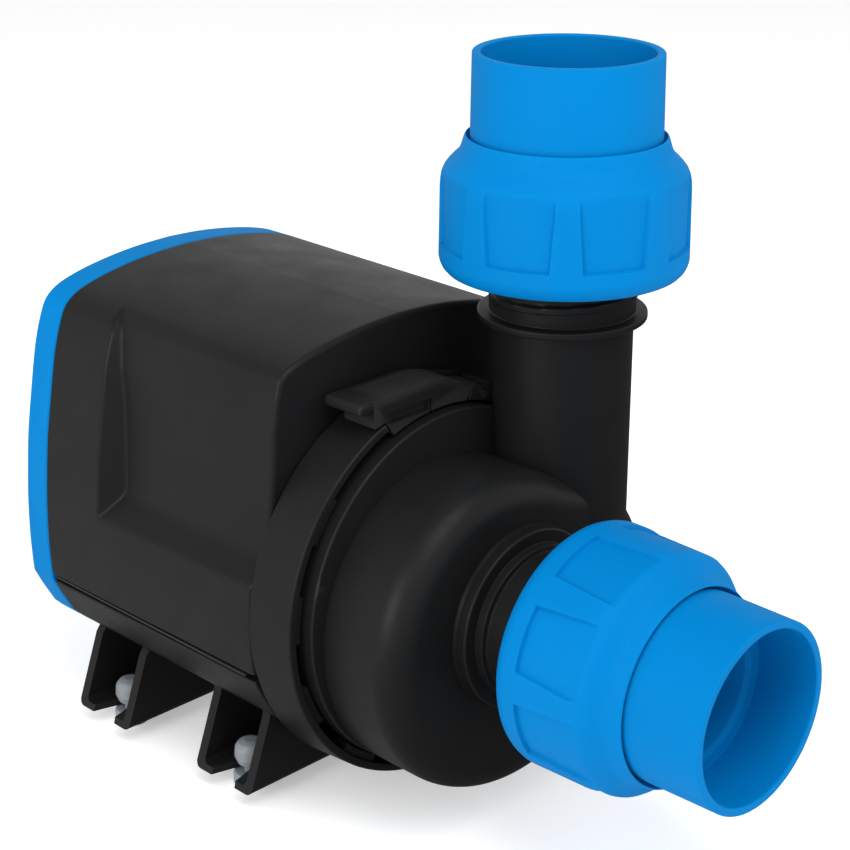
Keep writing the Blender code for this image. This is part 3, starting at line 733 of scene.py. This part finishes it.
def hollow_rear(z):
    """Where the slanted rear wall of the hollow meets the side, along Y."""
    lean = HOLLOW_REAR_LEAN * (z - 12)
    return HOLLOW_REAR_Y + lean + HOLLOW_BEND * smooth_step(z, *HOLLOW_BEND_Z)


def cover_section(right, y):
    """The cover's outline at a place along its length, with the hollows in its sides."""
    scale = 1 - (1 - BODY_DRAFT) * (BODY_REAR_Y - y) / (BODY_REAR_Y - BODY_FRONT_Y)
    section = []
    for x, z in right:
        x *= scale
        z *= scale if z > 0 else 1
        if z > 0 and x > CROWN_X:
            rear_wall = x - (hollow_rear(z) - y) / HOLLOW_REAR_SLOPE
            x = smooth_min(x, smooth_max(hollow_floor(z), rear_wall, 0.7), 0.5)
        section.append((x, z))
    return mirrored(section)


def make_motor_cover():
    right = curved(upper_half(), 0.5)
    corner = filleted([(40.0, SEAM_TOP_Z), (50.0, SEAM_TOP_Z, 0.45), right[3]], closed=False)
    right = corner + right[4:]
    rings = []
    steps = 6
    y = BODY_FRONT_Y + COVER_EDGE
    section = cover_section(right, y)
    for k in range(steps + 1):
        turn = math.pi / 2 * (1 - k / steps)
        shrunk = inset(section, COVER_EDGE * (1 - math.cos(turn)))
        at = BODY_FRONT_Y + COVER_EDGE * (1 - math.sin(turn))
        rings.append([(x, at, z) for x, z in shrunk])
    while y < BODY_REAR_Y - 2 * COVER_REAR_EDGE:
        # The slanted end of the hollows needs closely spaced rows.
        y += CLOSE_ROW_STEP if CLOSE_ROWS_Y[0] < y < CLOSE_ROWS_Y[1] else ROW_STEP
        at = min(y, BODY_REAR_Y - COVER_REAR_EDGE)
        rings.append([(x, at, z) for x, z in cover_section(right, y)])
    last = inset(cover_section(right, BODY_REAR_Y), COVER_REAR_EDGE)
    rings.append([(x, BODY_REAR_Y, z) for x, z in last])
    cover = new_object("motor_cover_shell", grid(rings, closed=False))
    rear_room = [
        (46.9, -20), (47.2, 0), (45.3, 24), (43.4, 35), (40.8, 48), (36.8, 57), (33, 60.3), (0, 62.9),
    ]
    front_room = [
        (46.4, -20), (46.4, 2), (40.6, 13), (39.3, 40), (38.0, 52), (35.0, 58.5), (30, 60.5),
        (0, 62.8),
    ]
    cut(
        cover,
        block(mirrored(rear_room), 19.5, 45),
        block(mirrored(front_room), BODY_FRONT_Y + WALL, 21),
        cylinder(21.5, -50, -30),
    )
    finished(cover, "housing", BLACK, ["motor_cover"])


def foot_outline(side, outer):
    corners = [
        (outer, FOOT_PLATE_Z),
        (outer - 7.0, -30.6),
        (40.0, -27.7),
        (36.0, -29.2),
        (28.5, -30.8),
        (14.0, -38.0),
        (20.5, FOOT_PLATE_Z),
    ]
    return [(side * x, z) for x, z in corners]


def slot_outline(side, knob, at):
    """A keyhole slot, open to the side: a tapered mouth with a round end."""
    half = [(15.0, 6.0), (0.8, 2.1)] + [polar(2.25, angle) for angle in range(72, 180, 12)]
    outline = [(side * (knob + u), at - v) for u, v in half]
    return outline + [(side * (knob + u), at + v) for u, v in reversed(half)]


def channel(at, start, end):
    """A U-shaped channel along X, with rounded corners: two gussets and the plate."""
    outer, inner = FOOT_HALF_WIDTH, FOOT_HALF_WIDTH - GUSSET
    floor = FOOT_PLATE_Z + FOOT_PLATE
    section = filleted([
        (-outer, -20), (-outer, FOOT_PLATE_Z, 1.9), (outer, FOOT_PLATE_Z, 1.9), (outer, -20),
        (inner, -20), (inner, floor, 1.3), (-inner, floor, 1.3), (-inner, -20),
    ], steps=6)
    return grid([[(x, at + y, z) for y, z in section] for x in (start, end)], closed=False)


def make_foot(side, row):
    """One slotted foot, as a channel cut to the outline of its gussets."""
    at = FOOT_Y[row]
    outline = foot_outline(side, FOOT_OUTER_X[row])
    foot = new_object("foot", block(outline, at - FOOT_HALF_WIDTH - 1, at + FOOT_HALF_WIDTH + 1))
    combined(foot, [channel(at, side * 10, side * 60)], "INTERSECT")
    cut(foot, slab(slot_outline(side, KNOB_X[row], at), -60, -45))
    return bevelled(foot, 0.35)


def lug_angles():
    """Middle angle of each bayonet lug. There is none in the gap for the latch."""
    return [FIRST_LUG + LUG_PITCH * i for i in range(LUGS)]


def make_base_frame():
    ring = [
        (RING_REAR_R, BULKHEAD_REAR_Y, 0.4),
        (RING_R, RING_FRONT_Y, 0.55),
        (RING_INNER_R, RING_FRONT_Y, 0.35),
        (RING_INNER_R, BULKHEAD_FRONT_Y, 0.4),
        (BULKHEAD_BORE_R, BULKHEAD_FRONT_Y, 0.3),
        (BULKHEAD_BORE_R, BULKHEAD_REAR_Y, 0.3),
    ]
    base = new_object("base_frame_shell", turned(filleted(ring), segments=192))
    cut(base, sector(45.0, 54, *LATCH_GAP, -57, BULKHEAD_FRONT_Y - 0.3, 0))
    lugs = []
    for angle in lug_angles():
        first, last = angle - RING_LUG_HALF, angle + RING_LUG_HALF
        lugs.append(sector(45.9, 48.3, first, last, -54.6, -52.0))
    lugs.append(sector(46.1, 49.8, 66.5, 78.0, RING_FRONT_Y + 0.1, -53.4))
    half = lower_half()
    outline = filleted(mirrored_corners(half), steps=5)
    shape = block(outline, BODY_FRONT_Y + 0.2, BODY_REAR_Y - 0.2, 0.5, BODY_DRAFT)
    tray = new_object("tray", shape)
    open_half = [point[:2] for point in half[:-1]] + [(50.0, 10.0)]
    room = inset(mirrored(open_half), WALL)
    cut(tray, block(room, BODY_FRONT_Y + WALL, BODY_REAR_Y + 5), cylinder(20.9, -50, -30))
    chord = [polar(49.2, angle) for angle in range(-162, -17, 4)]
    shape = block(chord, BULKHEAD_REAR_Y - 1.2, BODY_FRONT_Y + 1.4)
    low_joint = new_object("low_joint", shape)
    cut(low_joint, cylinder(20.75, -50, -30))
    extras = []
    for side in (-1, 1):
        strip = [(46.1, -8.5), (44.0, -8.5), (43.2, -17.9), (46.1, -17.9)]
        strip = [(side * x, z) for x, z in strip]
        extras.append(block(strip, BODY_FRONT_Y + WALL + 0.6, BODY_REAR_Y - 1, 0.2))
        rib = [(44.5, -14.65), (44.5, -14.05), (49.35, -14.05), (49.35, -14.65)]
        rib = [(side * x, z) for x, z in rib]
        extras.append(block(rib, BODY_FRONT_Y + WALL + 0.7, BODY_REAR_Y - 1.1))
    feet = []
    for side in (-1, 1):
        for row in (0, 1):
            feet.append(make_foot(side, row))
    join(base, *lugs, tray, low_joint, *extras, *feet)
    pin = (LATCH_PIN_X, 0, LATCH_PIN_Z)
    cut(base, cylinder(1.35, -60, -30, "y", pin, 32))
    finished(base, "housing", BLACK, ["base_frame"])


def mirrored_corners(right):
    """Like mirrored(), for corners that may carry a fillet radius."""
    left = [(-c[0], *c[1:]) for c in reversed(right) if c[0] > 1e-6]
    whole = list(right) + left
    return [(*c[:2], 0.4) if c[1] == SEAM_BOTTOM_Z else c for c in whole]


def make_rear_cover():
    lower = [point[:2] for point in lower_half()]
    side = [lower[-1], (50.2, SEAM_TOP_Z)]
    outline = mirrored(lower[:-1] + side[:1] + curved([side[1]] + upper_half()[1:], 1.0))
    rows = []
    for turn in range(0, 91, 15):
        u, v = polar(1.3, turn)
        rows.append((REAR_FACE_Y - 1.3 + v, 1.3 - u))
    rings = [[(x, BODY_REAR_Y + 0.3, z) for x, z in inset(outline, 0.35)]]
    for y, distance in [(BODY_REAR_Y + 0.65, 0)] + rows:
        shrunk = inset(outline, distance) if distance > 1e-6 else outline
        rings.append([(x, y, z) for x, z in shrunk])
    cover = new_object("rear_cover_shell", grid(rings, closed=False))
    room = new_object("room", block(inset(outline, WALL), 30, REAR_FACE_Y - WALL))
    cut(room, *[cylinder(6.2, 20, 50, "y", (x, 0, z), 40) for x, z in SCREWS])
    holes = []
    for x, z in SCREWS:
        hole = [
            (0, 30), (1.9, 30), (1.9, 46.2), (3.9, 46.2), (3.9, 49.0), (4.3, 49.4), (4.3, 55),
            (0, 55),
        ]
        holes.append(turned(hole, "y", (x, 0, z), 40))
    holes.append(cylinder(6.4, 30, 60, "y", (GLAND_X, 0, GLAND_Z), 64))
    cut(cover, room, *holes)
    finished(cover, "housing", BLUE, ["rear_cover"])


def make_cover_screws():
    """Pan-head screws with a cross recess."""
    for number, (x, z) in enumerate(SCREWS):
        centre = (x, 0, z)
        shank = [(0, 26), (0.6, 26), (1.2, 27.5), (1.2, 46.5)]
        head = [(3.5, 46.5), (3.5, 47.3, 0.5), (2.9, 48.2, 0.6), (0, 48.4)]
        shape = turned(filleted(shank + head, closed=False), "y", centre, 48)
        screw = new_object(f"screw_{number + 1}", shape)
        for wide, tall, floor in ((1.9, 0.45, 47.3), (0.45, 1.9, 47.35)):
            corners = [
                (x - wide, z - tall), (x + wide, z - tall), (x + wide, z + tall),
                (x - wide, z + tall),
            ]
            cut(screw, block(corners, floor, 50))
        finished(screw, "housing", STEEL, [f"cover_screw_{number + 1}"])


def make_cable_gland():
    centre = (GLAND_X, 0, GLAND_Z)
    body = [
        (6.1, 43), (6.1, 49.7), (9.2, 49.7, 0.3), (9.2, 51.8, 0.5), (6.2, 51.8), (6.2, 58.4),
        (5.3, 58.4), (5.3, 51), (4.0, 51), (4.0, 43),
    ]
    gland = new_object("gland_body", turned(filleted(body), "y", centre, 72))
    finished(gland, "housing", BLACK, ["cable_gland_body"])

    def flutes(radius, along, angle):
        """Twelve grip flutes round the outside of the nut."""
        depth = 0.55 * smooth_step(along, 52.6, 53.6) * smooth_step(-along, -58.6, -57.6)
        groove = smooth_step(math.cos(math.radians(12 * angle)), 0.2, 0.95)
        return radius - depth * groove if radius > 8.0 else radius

    along = [53.0 + 0.5 * k for k in range(11)]
    nut = [(8.6, 52.1), (9.1, 52.5)] + [(9.1, y) for y in along]
    nut += [(9.1, 58.4), (8.7, 59.3), (7.2, GLAND_END_Y, 0.5), (4.6, GLAND_END_Y, 0.4)]
    nut += [(4.6, 58.8), (6.6, 58.8), (6.6, 52.1)]
    nut = new_object("gland_nut", turned(filleted(nut), "y", centre, 144, flutes))
    finished(nut, "housing", BLACK, ["cable_gland_nut"])


def make_foot_pads():
    """Silicone feet: a round pad, a neck in the slot and a knob above the plate."""
    profile = [
        (0, FLOOR_Z),
        (4.3, FLOOR_Z, 0.3),
        (4.6, -53.4, 0.4),
        (4.6, -50.9, 0.4),
        (4.3, -50.3, 0.2),
        (1.9, -50.3, 0.15),
        (1.9, -48.0, 0.1),
        (3.4, -48.0, 0.2),
        (4.2, -46.1, 0.25),
        (4.0, -43.4, 0.9),
        (3.1, -42.2, 0.9),
        (1.6, -41.55, 0.8),
        (0, -41.5),
    ]
    for number in range(4):
        x = KNOB_X[number % 2] * (-1 if number < 2 else 1)
        centre = (x, FOOT_Y[number % 2], 0)
        shape = turned(filleted(profile, closed=False), "z", centre, 64)
        pad = new_object(f"silicone_foot_{number + 1}", shape)
        finished(pad, "housing", SILICONE, [f"foot_pad_{number + 1}"])


def make_latch():
    """Spring latch of the bayonet, hinged on a pin at its right end."""
    under = [polar(46.3, angle) for angle in (110.5, 107, 103, 99.5, 96, 92, 88, 84, 80)]
    hump = curved([(10.4, 48.6), (7.5, 50.0), (4.3, 51.9), (-0.4, 53.2), (-4.4, 53.5)], 0.9)
    top = hump + [(-17.9, 53.2), (-22.8, 53.0), (-22.3, 46.4), (-18.9, 47.2), (-18.3, 46.4)]
    latch = new_object("latch_lever", block(under + top, RING_FRONT_Y - 0.2, -45.2))
    plate = filleted([
        (-27.0, 50.3, 0.9), (1.0, 51.0, 0.5), (3.6, 51.7), (-0.4, 52.9), (-4.4, 53.3),
        (-17.9, 53.1), (-26.8, 53.0, 1.1),
    ])
    arm = [(6.0, 46.6), (14.4, 43.9), (14.4, 47.5), (8.0, 49.2)]
    pin = (LATCH_PIN_X, 0, LATCH_PIN_Z)
    join(
        latch,
        block(plate, RING_FRONT_Y - 0.1, -42.9, 0.8),
        block(arm, -53.0, -45.3),
        cylinder(1.95, -52.9, -45.35, "y", pin, 32),
    )
    ear_room = [polar(45, 63), polar(45, 79), polar(55, 79), polar(55, 63)]
    cut(latch, block(ear_room, -58, -53.05))
    bevelled(latch, 0.35)
    window = [(-17.2, 46.6), (-17.6, 49.1), (-5.0, 49.4), (-5.0, 46.9)]
    slit = [(-4.5, 40), (-4.5, 49.4), (-3.9, 49.4), (-3.9, 40)]
    cut(
        latch,
        block(window, -60, RING_FRONT_Y + 0.6),
        block(slit, -60, RING_FRONT_Y + 2.0),
        cylinder(1.3, -60, -40, "y", pin, 32),
    )
    finished(latch, "latch", BLACK, ["latch"])


# ---------------------------------------------------------------- volute


def spiral_radius(angle):
    """Outside radius of the casing at an angle from +X towards +Z."""
    turn = (angle - CUTWATER_ANGLE) % 360
    left = max(0.0, 1 - turn / SPIRAL_TURN)
    leave = 360 - CUTWATER_ANGLE
    if turn <= leave:
        return CASING_R - (CASING_R - CUTWATER_R) * left**SPIRAL_CURVE
    part_way = min(1, (turn - leave) / SPIRAL_RETURN)
    return CASING_R + (CUTWATER_R - CASING_R) * (1 - math.cos(math.pi * part_way)) / 2


def casing(offset, rear, front, rounding, segments=180, arc_steps=14):
    """The spiral body, with a rounded front edge and a nearly flat front."""
    rows = [(0, rear)]
    for k in range(arc_steps + 1):
        u, v = polar(rounding, 90 * k / arc_steps)
        rows.append((rounding - u, front + rounding - v))
    rings = []
    for shrink, y in rows:
        ring = []
        for i in range(segments):
            angle = 360 * i / segments
            x, z = polar(spiral_radius(angle) - offset - shrink, angle)
            ring.append((x, y, z))
        rings.append(ring)
    return grid(rings, closed=False)


def threaded(start, crest, first, last, lead=0.0):
    """A rule for turned() that raises a right-hand thread between two distances."""

    def shape(radius, along, angle):
        if abs(radius - start) > 0.05 or not first - 6 < along < last + 3:
            return radius
        turns = (along - first) / THREAD_PITCH - angle / 360
        nearest = abs(turns - round(turns)) * THREAD_PITCH
        height = smooth_step(-nearest, -1.15, -0.6)
        wound = round(turns) + angle / 360
        whole = (last - first) / THREAD_PITCH
        fade = smooth_step(wound, -lead - 0.05, 0.2 - lead)
        fade *= smooth_step(-wound, -whole - 0.05, -whole + 0.2)
        return radius + (crest - start) * height * fade

    return shape


def neck_rows(start, end):
    """Closely spaced rows of a neck, which carry its thread."""
    count = round((end - start) / 0.3)
    return [(NECK_R, start + (end - start) * k / count) for k in range(1, count)]


def neck_rim(end):
    """The rounded end of a neck."""
    rim = filleted([(NECK_R, end - 0.6), (NECK_R, end, 0.5), (0, end)], closed=False)
    return rim[:-1] + [(0, end)]


def neck_thread(nut):
    """The thread of a neck, for the place of its nut."""
    first, last = nut - THREAD_BEFORE, nut + THREAD_AFTER
    return threaded(NECK_R, THREAD_CREST_R, first, last, THREAD_LEAD)


def make_volute():
    flange = [
        (CHAMBER_R, FLANGE_REAR_Y),
        (FLANGE_R, FLANGE_REAR_Y, 0.3),
        (FLANGE_R, FLANGE_FRONT_Y, 0.6),
        (CHAMBER_R, FLANGE_FRONT_Y),
    ]
    volute = new_object("volute_shell", turned(filleted(flange), segments=192))
    neck_end = INLET_NUT_D + NECK_END
    neck = filleted([
        (0, 76), (24.4, 76), (22.6, 82.4, 0.5), (22.6, 85.2, 0.6), (19.2, 85.2, 0.25),
        (19.2, 87.3, 0.3), (NECK_R, 87.6, 0.3), (NECK_R, 90),
    ], closed=False)
    neck += neck_rows(90, neck_end - 0.6) + neck_rim(neck_end)
    join(volute, casing(0, CASING_REAR_Y, CASING_FRONT_Y, CASING_ROUNDING))
    join(volute, turned(neck, "-y", shape=neck_thread(INLET_NUT_D)))
    top = OUTLET_NUT_Z + NECK_END
    centre = (PIPE_X, PIPE_Y, 0)
    pipe = filleted([
        (0, -17), (7, -16, 6), (12.5, -12, 8), (16.2, -5, 10), (PIPE_R, 3, 14), (PIPE_R, 63.9, 0.5),
        (20.7, 64.4, 0.5), (20.7, 66.2, 0.5), (NECK_R, 66.2, 0.35), (NECK_R, 68),
    ], closed=False)
    pipe += neck_rows(68, top - 0.6) + neck_rim(top)
    shape = turned(pipe, "z", centre, shape=neck_thread(OUTLET_NUT_Z))
    outlet = new_object("outlet_pipe", shape)
    cut(outlet, cylinder(51.6, -56.4, -20, segments=192))
    lugs = []
    for angle in lug_angles():
        first, last = angle - VOLUTE_LUG_HALF, angle + VOLUTE_LUG_HALF
        lugs.append(sector(44.9, 47.2, first, last, -51.5, -48.9))
    join(volute, outlet, *lugs)
    bore = new_object("outlet_bore", cylinder(BORE_R, 2, 120, "z", centre, 96))
    cut(bore, cylinder(54.6, -59.2, -20, segments=96))
    cut(
        volute,
        cylinder(CHAMBER_R - 0.05, CHAMBER_FRONT_Y + 0.4, -40),
        casing(WALL, CASING_REAR_Y - 2.8, CHAMBER_FRONT_Y, 5.5, 96, 6),
        bore,
        cylinder(BORE_R, 70, 130, "-y", segments=96),
        tube(40.4, 37.0, FLANGE_REAR_Y - 2.6, FLANGE_REAR_Y + 3, 96),
    )
    spider = [cylinder(7.0, 76.5, 87, "-y", segments=64, edge=0.8)]
    for number in range(3):
        ax, az = polar(1, 90 + 120 * number)
        corners = []
        for r, w in ((5.5, -1.2), (14.8, -1.2), (14.8, 1.2), (5.5, 1.2)):
            corners.append((ax * r - az * w, az * r + ax * w))
        spider.append(block(corners, -86.4, -77.8, 0.5))
    join(volute, *spider)
    cut(volute, cylinder(4.9, 60, 85.2, "-y", segments=48))
    finished(volute, "volute", BLACK, ["volute"], sharp=28)


# ---------------------------------------------------------------- unions

# Outside of a nut: distance from its end at the pump, radius, half angle of a rib
NUT_OUTSIDE = [
    (0.2, 28.0, 7.6),
    (0.5, 28.6, 7.6),
    (1.4, 29.4, 7.6),
    (2.4, 29.85, 7.6),
    (3.4, 30.1, 7.6),
    (4.7, 30.1, 7.6),
    (6.95, 30.07, 7.32),
    (7.2, 30.06, 7.29),
    (20.5, 29.85, 5.4),
    (22.0, 29.75, 5.3),
    (23.5, 29.5, 5.2),
    (24.9, 28.9, 5.2),
    (26.0, 28.05, 5.2),
    (27.1, 27.0, 5.2),
    (28.0, 26.0, 5.2),
    (29.0, 25.25, 5.2),
    (30.4, 24.75, 5.2),
    (31.9, 24.3, 5.2),
    (32.5, 24.05, 5.2),
    (32.7, 23.75, 5.2),
]
RECESS_START = 7.1
RECESS_R = 29.1
RIBS = 8
RIB_TURN = -2.8
RIB_FLANK = 0.7
RIB_SHOULDER = 0.6
NUT_THREAD_R = 19.9
NUT_CREST_R = 18.8


def nut_ring(u, radius, rib_half):
    """(radius, degrees) round the nut: ribs, and between them recesses with steep walls."""
    floor = min(radius, RECESS_R) if u > RECESS_START else radius
    ring = []
    for rib in range(RIBS):
        middle_of_rib = rib * 360 / RIBS + RIB_TURN
        for k in range(-2, 3):
            ring.append((radius, middle_of_rib + rib_half * k / 2))
        first = middle_of_rib + rib_half + RIB_FLANK
        last = middle_of_rib + 360 / RIBS - rib_half - RIB_FLANK
        shoulder = RIB_SHOULDER * radius + (1 - RIB_SHOULDER) * floor
        ring.append((shoulder, first - 0.45))
        for k in range(17):
            ring.append((floor, first + (last - first) * k / 16))
        ring.append((shoulder, last + 0.45))
    return ring


def make_nut(name, axis, centre):
    """Union nut: eight shallow grip recesses between ribs, and an inside thread."""
    rows = []
    for first, second in zip(NUT_OUTSIDE, NUT_OUTSIDE[1:]):
        steps = max(1, round((second[0] - first[0]) / 0.7))
        for k in range(steps):
            rows.append([a + (b - a) * k / steps for a, b in zip(first, second)])
    rows.append(list(NUT_OUTSIDE[-1]))
    rings = []
    angles = []
    for row in rows:
        ring = nut_ring(*row)
        angles = [angle for _, angle in ring]
        rings.append([on_axis(axis, centre, *polar(*point), row[0]) for point in ring])
    inside = filleted([
        (23.3, NUT_LENGTH, 0.2), (23.3, 20.8, 0.3), (17.6, 20.8, 0.3), (17.6, 17.3, 0.3),
        (NUT_THREAD_R, 17.3, 0.3), (NUT_THREAD_R, 16.5),
    ])[:-1]
    steps = 52
    inside += [(NUT_THREAD_R, 16.5 - 15.6 * k / steps) for k in range(steps + 1)]
    inside += [(NUT_THREAD_R + 0.5, NUT_START)]
    thread = threaded(NUT_THREAD_R, NUT_CREST_R, 4.3, 12.9)
    for radius, u in inside:
        ring = []
        for angle in angles:
            x, y = polar(thread(radius, u, angle % 360), angle)
            ring.append(on_axis(axis, centre, x, y, u))
        rings.append(ring)
    nut = new_object(f"{name}_shell", grid(rings, closed=True))
    finished(nut, name, BLUE, [name], sharp=30)


def make_tail(name, axis, centre):
    """Tail of a union: pipe socket, stop ledge, and a snap-in end held by the nut."""
    ledge = TAIL_END - SOCKET_DEPTH
    profile = [
        (17.2, 14.3, 0.2),
        (18.3, 14.7, 0.3),
        (18.3, 16.2, 0.2),
        (17.2, 16.9),
        (17.2, 21.2),
        (22.4, 21.2, 0.4),
        (22.8, 22.4, 0.5),
        (22.8, 33.0),
        (22.5, TAIL_END, 0.45),
        (20.45, TAIL_END, 0.5),
        (SOCKET_R, ledge, 0.3),
        (17.4, ledge, 0.4),
        (16.6, ledge - 1.0, 0.8),
        (BORE_R, 24.0, 4.0),
        (BORE_R, 14.3, 0.4),
    ]
    tail = new_object(f"{name}_shell", turned(filleted(profile, steps=5), axis, centre, 160))
    finished(tail, name, BLUE, [name])


def make_unions():
    for name, axis, centre in (
        ("inlet", "-y", (0, -INLET_NUT_D, 0)),
        ("outlet", "z", (PIPE_X, PIPE_Y, OUTLET_NUT_Z)),
    ):
        make_nut(f"{name}_nut", axis, centre)
        make_tail(f"{name}_tail", axis, centre)


# ---------------------------------------------------------------- studio

CAMERA_PLACE = (-0.3251, -0.3245, 0.2700)
CAMERA_AZIMUTH = -44.93
CAMERA_ELEVATION = 21.26
CAMERA_LENS = 84.94
CAMERA_SENSOR = 36.0

# name, azimuth, elevation, distance and side in metres, watts, seen in reflections
LAMPS = [
    ("key", -86, 16, 0.9, 0.4, 3.2, True),
    ("edge_light", -20, 60, 0.8, 0.45, 3.0, True),
    ("top_left_fill", -80, 60, 1.1, 1.0, 3.5, False),
    ("right_fill", 30, 28, 0.9, 0.6, 2.4, False),
]

FLOOR_REACH = 50.0
FLOOR_GAP = 0.0002
FLOOR_GLOW = 0.36

# World: a bright side below the horizon, and a sky that darkens towards the zenith
BRIGHT_SIDE = (-0.70, 0.55, 0.46)
BRIGHT_FROM = -0.6
BELOW_DARK = 0.12
BELOW_BRIGHT = 1.0
HORIZON_BLEND = -0.06
HORIZON = 1.0
ZENITH = 0.38


def aim(obj, azimuth, elevation):
    """Turns a camera or a lamp to look in a direction given by where it stands."""
    a, e = math.radians(azimuth), math.radians(elevation)
    back = Vector((math.sin(a) * math.cos(e), -math.cos(a) * math.cos(e), math.sin(e)))
    obj.rotation_mode = "QUATERNION"
    obj.rotation_quaternion = (-back).to_track_quat("-Z", "Y")
    return back


def make_camera():
    data = bpy.data.cameras.new("camera")
    data.lens = CAMERA_LENS
    data.sensor_width = CAMERA_SENSOR
    data.dof.use_dof = False
    camera = bpy.data.objects.new("camera", data)
    bpy.context.scene.collection.objects.link(camera)
    camera.location = CAMERA_PLACE
    aim(camera, CAMERA_AZIMUTH, CAMERA_ELEVATION)
    bpy.context.scene.camera = camera


def make_light(name, azimuth, elevation, distance, side, power, glossy):
    data = bpy.data.lights.new(name, "AREA")
    data.shape = "SQUARE"
    data.size = side
    data.energy = power
    lamp = bpy.data.objects.new(name, data)
    bpy.context.scene.collection.objects.link(lamp)
    target = (CAD_BOX[0] + CAD_BOX[1]) / 2
    # The fill lamps leave no mirror image of their own in the plastic.
    lamp.visible_glossy = glossy
    lamp.visible_camera = False
    lamp.location = target + aim(lamp, azimuth, elevation) * distance


def make_floor():
    n = Nodes("studio_floor")
    n.feed(n.clouded(3.0, (0.86, 0.86, 0.86), (0.88, 0.88, 0.88)), "Base Color")
    n.set("Roughness", 0.7)
    n.set("Specular IOR Level", 0.1)
    n.set("Emission Color", WHITE)
    n.set("Emission Strength", FLOOR_GLOW)
    mesh = bpy.data.meshes.new("floor")
    reach = FLOOR_REACH
    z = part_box("foot_pad_1")[0].z - FLOOR_GAP
    corners = [(-reach, -reach, z), (reach, -reach, z), (reach, reach, z), (-reach, reach, z)]
    mesh.from_pydata(corners, [], [(0, 1, 2, 3)])
    mesh.materials.append(n.material)
    floor = bpy.data.objects.new("floor", mesh)
    bpy.context.scene.collection.objects.link(floor)
    # Kept out of reflections, as on a narrow table that ends close before the pump.
    floor.visible_glossy = False


def make_world():
    """A pale room above the horizon. Below it, one side is bright and shows in the sheen."""
    world = bpy.data.worlds.new("studio")
    world.use_nodes = True
    tree = world.node_tree
    link = tree.links.new

    def ranged(source, low_in, high_in, low_out, high_out, curve="LINEAR"):
        node = tree.nodes.new("ShaderNodeMapRange")
        node.interpolation_type = curve
        link(source, node.inputs["Value"])
        values = (low_in, high_in, low_out, high_out)
        for socket, value in zip(("From Min", "From Max", "To Min", "To Max"), values):
            node.inputs[socket].default_value = value
        return node.outputs["Result"]

    place = tree.nodes.new("ShaderNodeTexCoord")
    facing = tree.nodes.new("ShaderNodeVectorMath")
    facing.operation = "DOT_PRODUCT"
    link(place.outputs["Generated"], facing.inputs[0])
    facing.inputs[1].default_value = Vector(BRIGHT_SIDE).normalized()
    split = tree.nodes.new("ShaderNodeSeparateXYZ")
    link(place.outputs["Generated"], split.inputs[0])
    height = split.outputs["Z"]
    cosine = facing.outputs["Value"]
    below = ranged(cosine, BRIGHT_FROM, 1.0, BELOW_DARK, BELOW_BRIGHT, "SMOOTHSTEP")
    above = ranged(height, 0.0, 1.0, HORIZON, ZENITH)
    mix = tree.nodes.new("ShaderNodeMix")
    link(ranged(height, HORIZON_BLEND, 0.0, 0.0, 1.0), mix.inputs["Factor"])
    link(below, mix.inputs["A"])
    link(above, mix.inputs["B"])
    background = tree.nodes["Background"]
    background.inputs["Color"].default_value = WHITE
    link(mix.outputs["Result"], background.inputs["Strength"])
    bpy.context.scene.world = world
    bpy.context.scene.view_settings.view_transform = "Standard"


def main():
    for name, material in CAD_MATERIALS.items():
        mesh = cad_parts[name].data
        mesh.materials.clear()
        mesh.materials.append(material)
    make_motor_cover()
    make_base_frame()
    make_rear_cover()
    make_cover_screws()
    make_cable_gland()
    make_foot_pads()
    make_latch()
    make_volute()
    make_unions()
    make_camera()
    make_world()
    make_floor()
    for lamp in LAMPS:
        make_light(*lamp)


main()
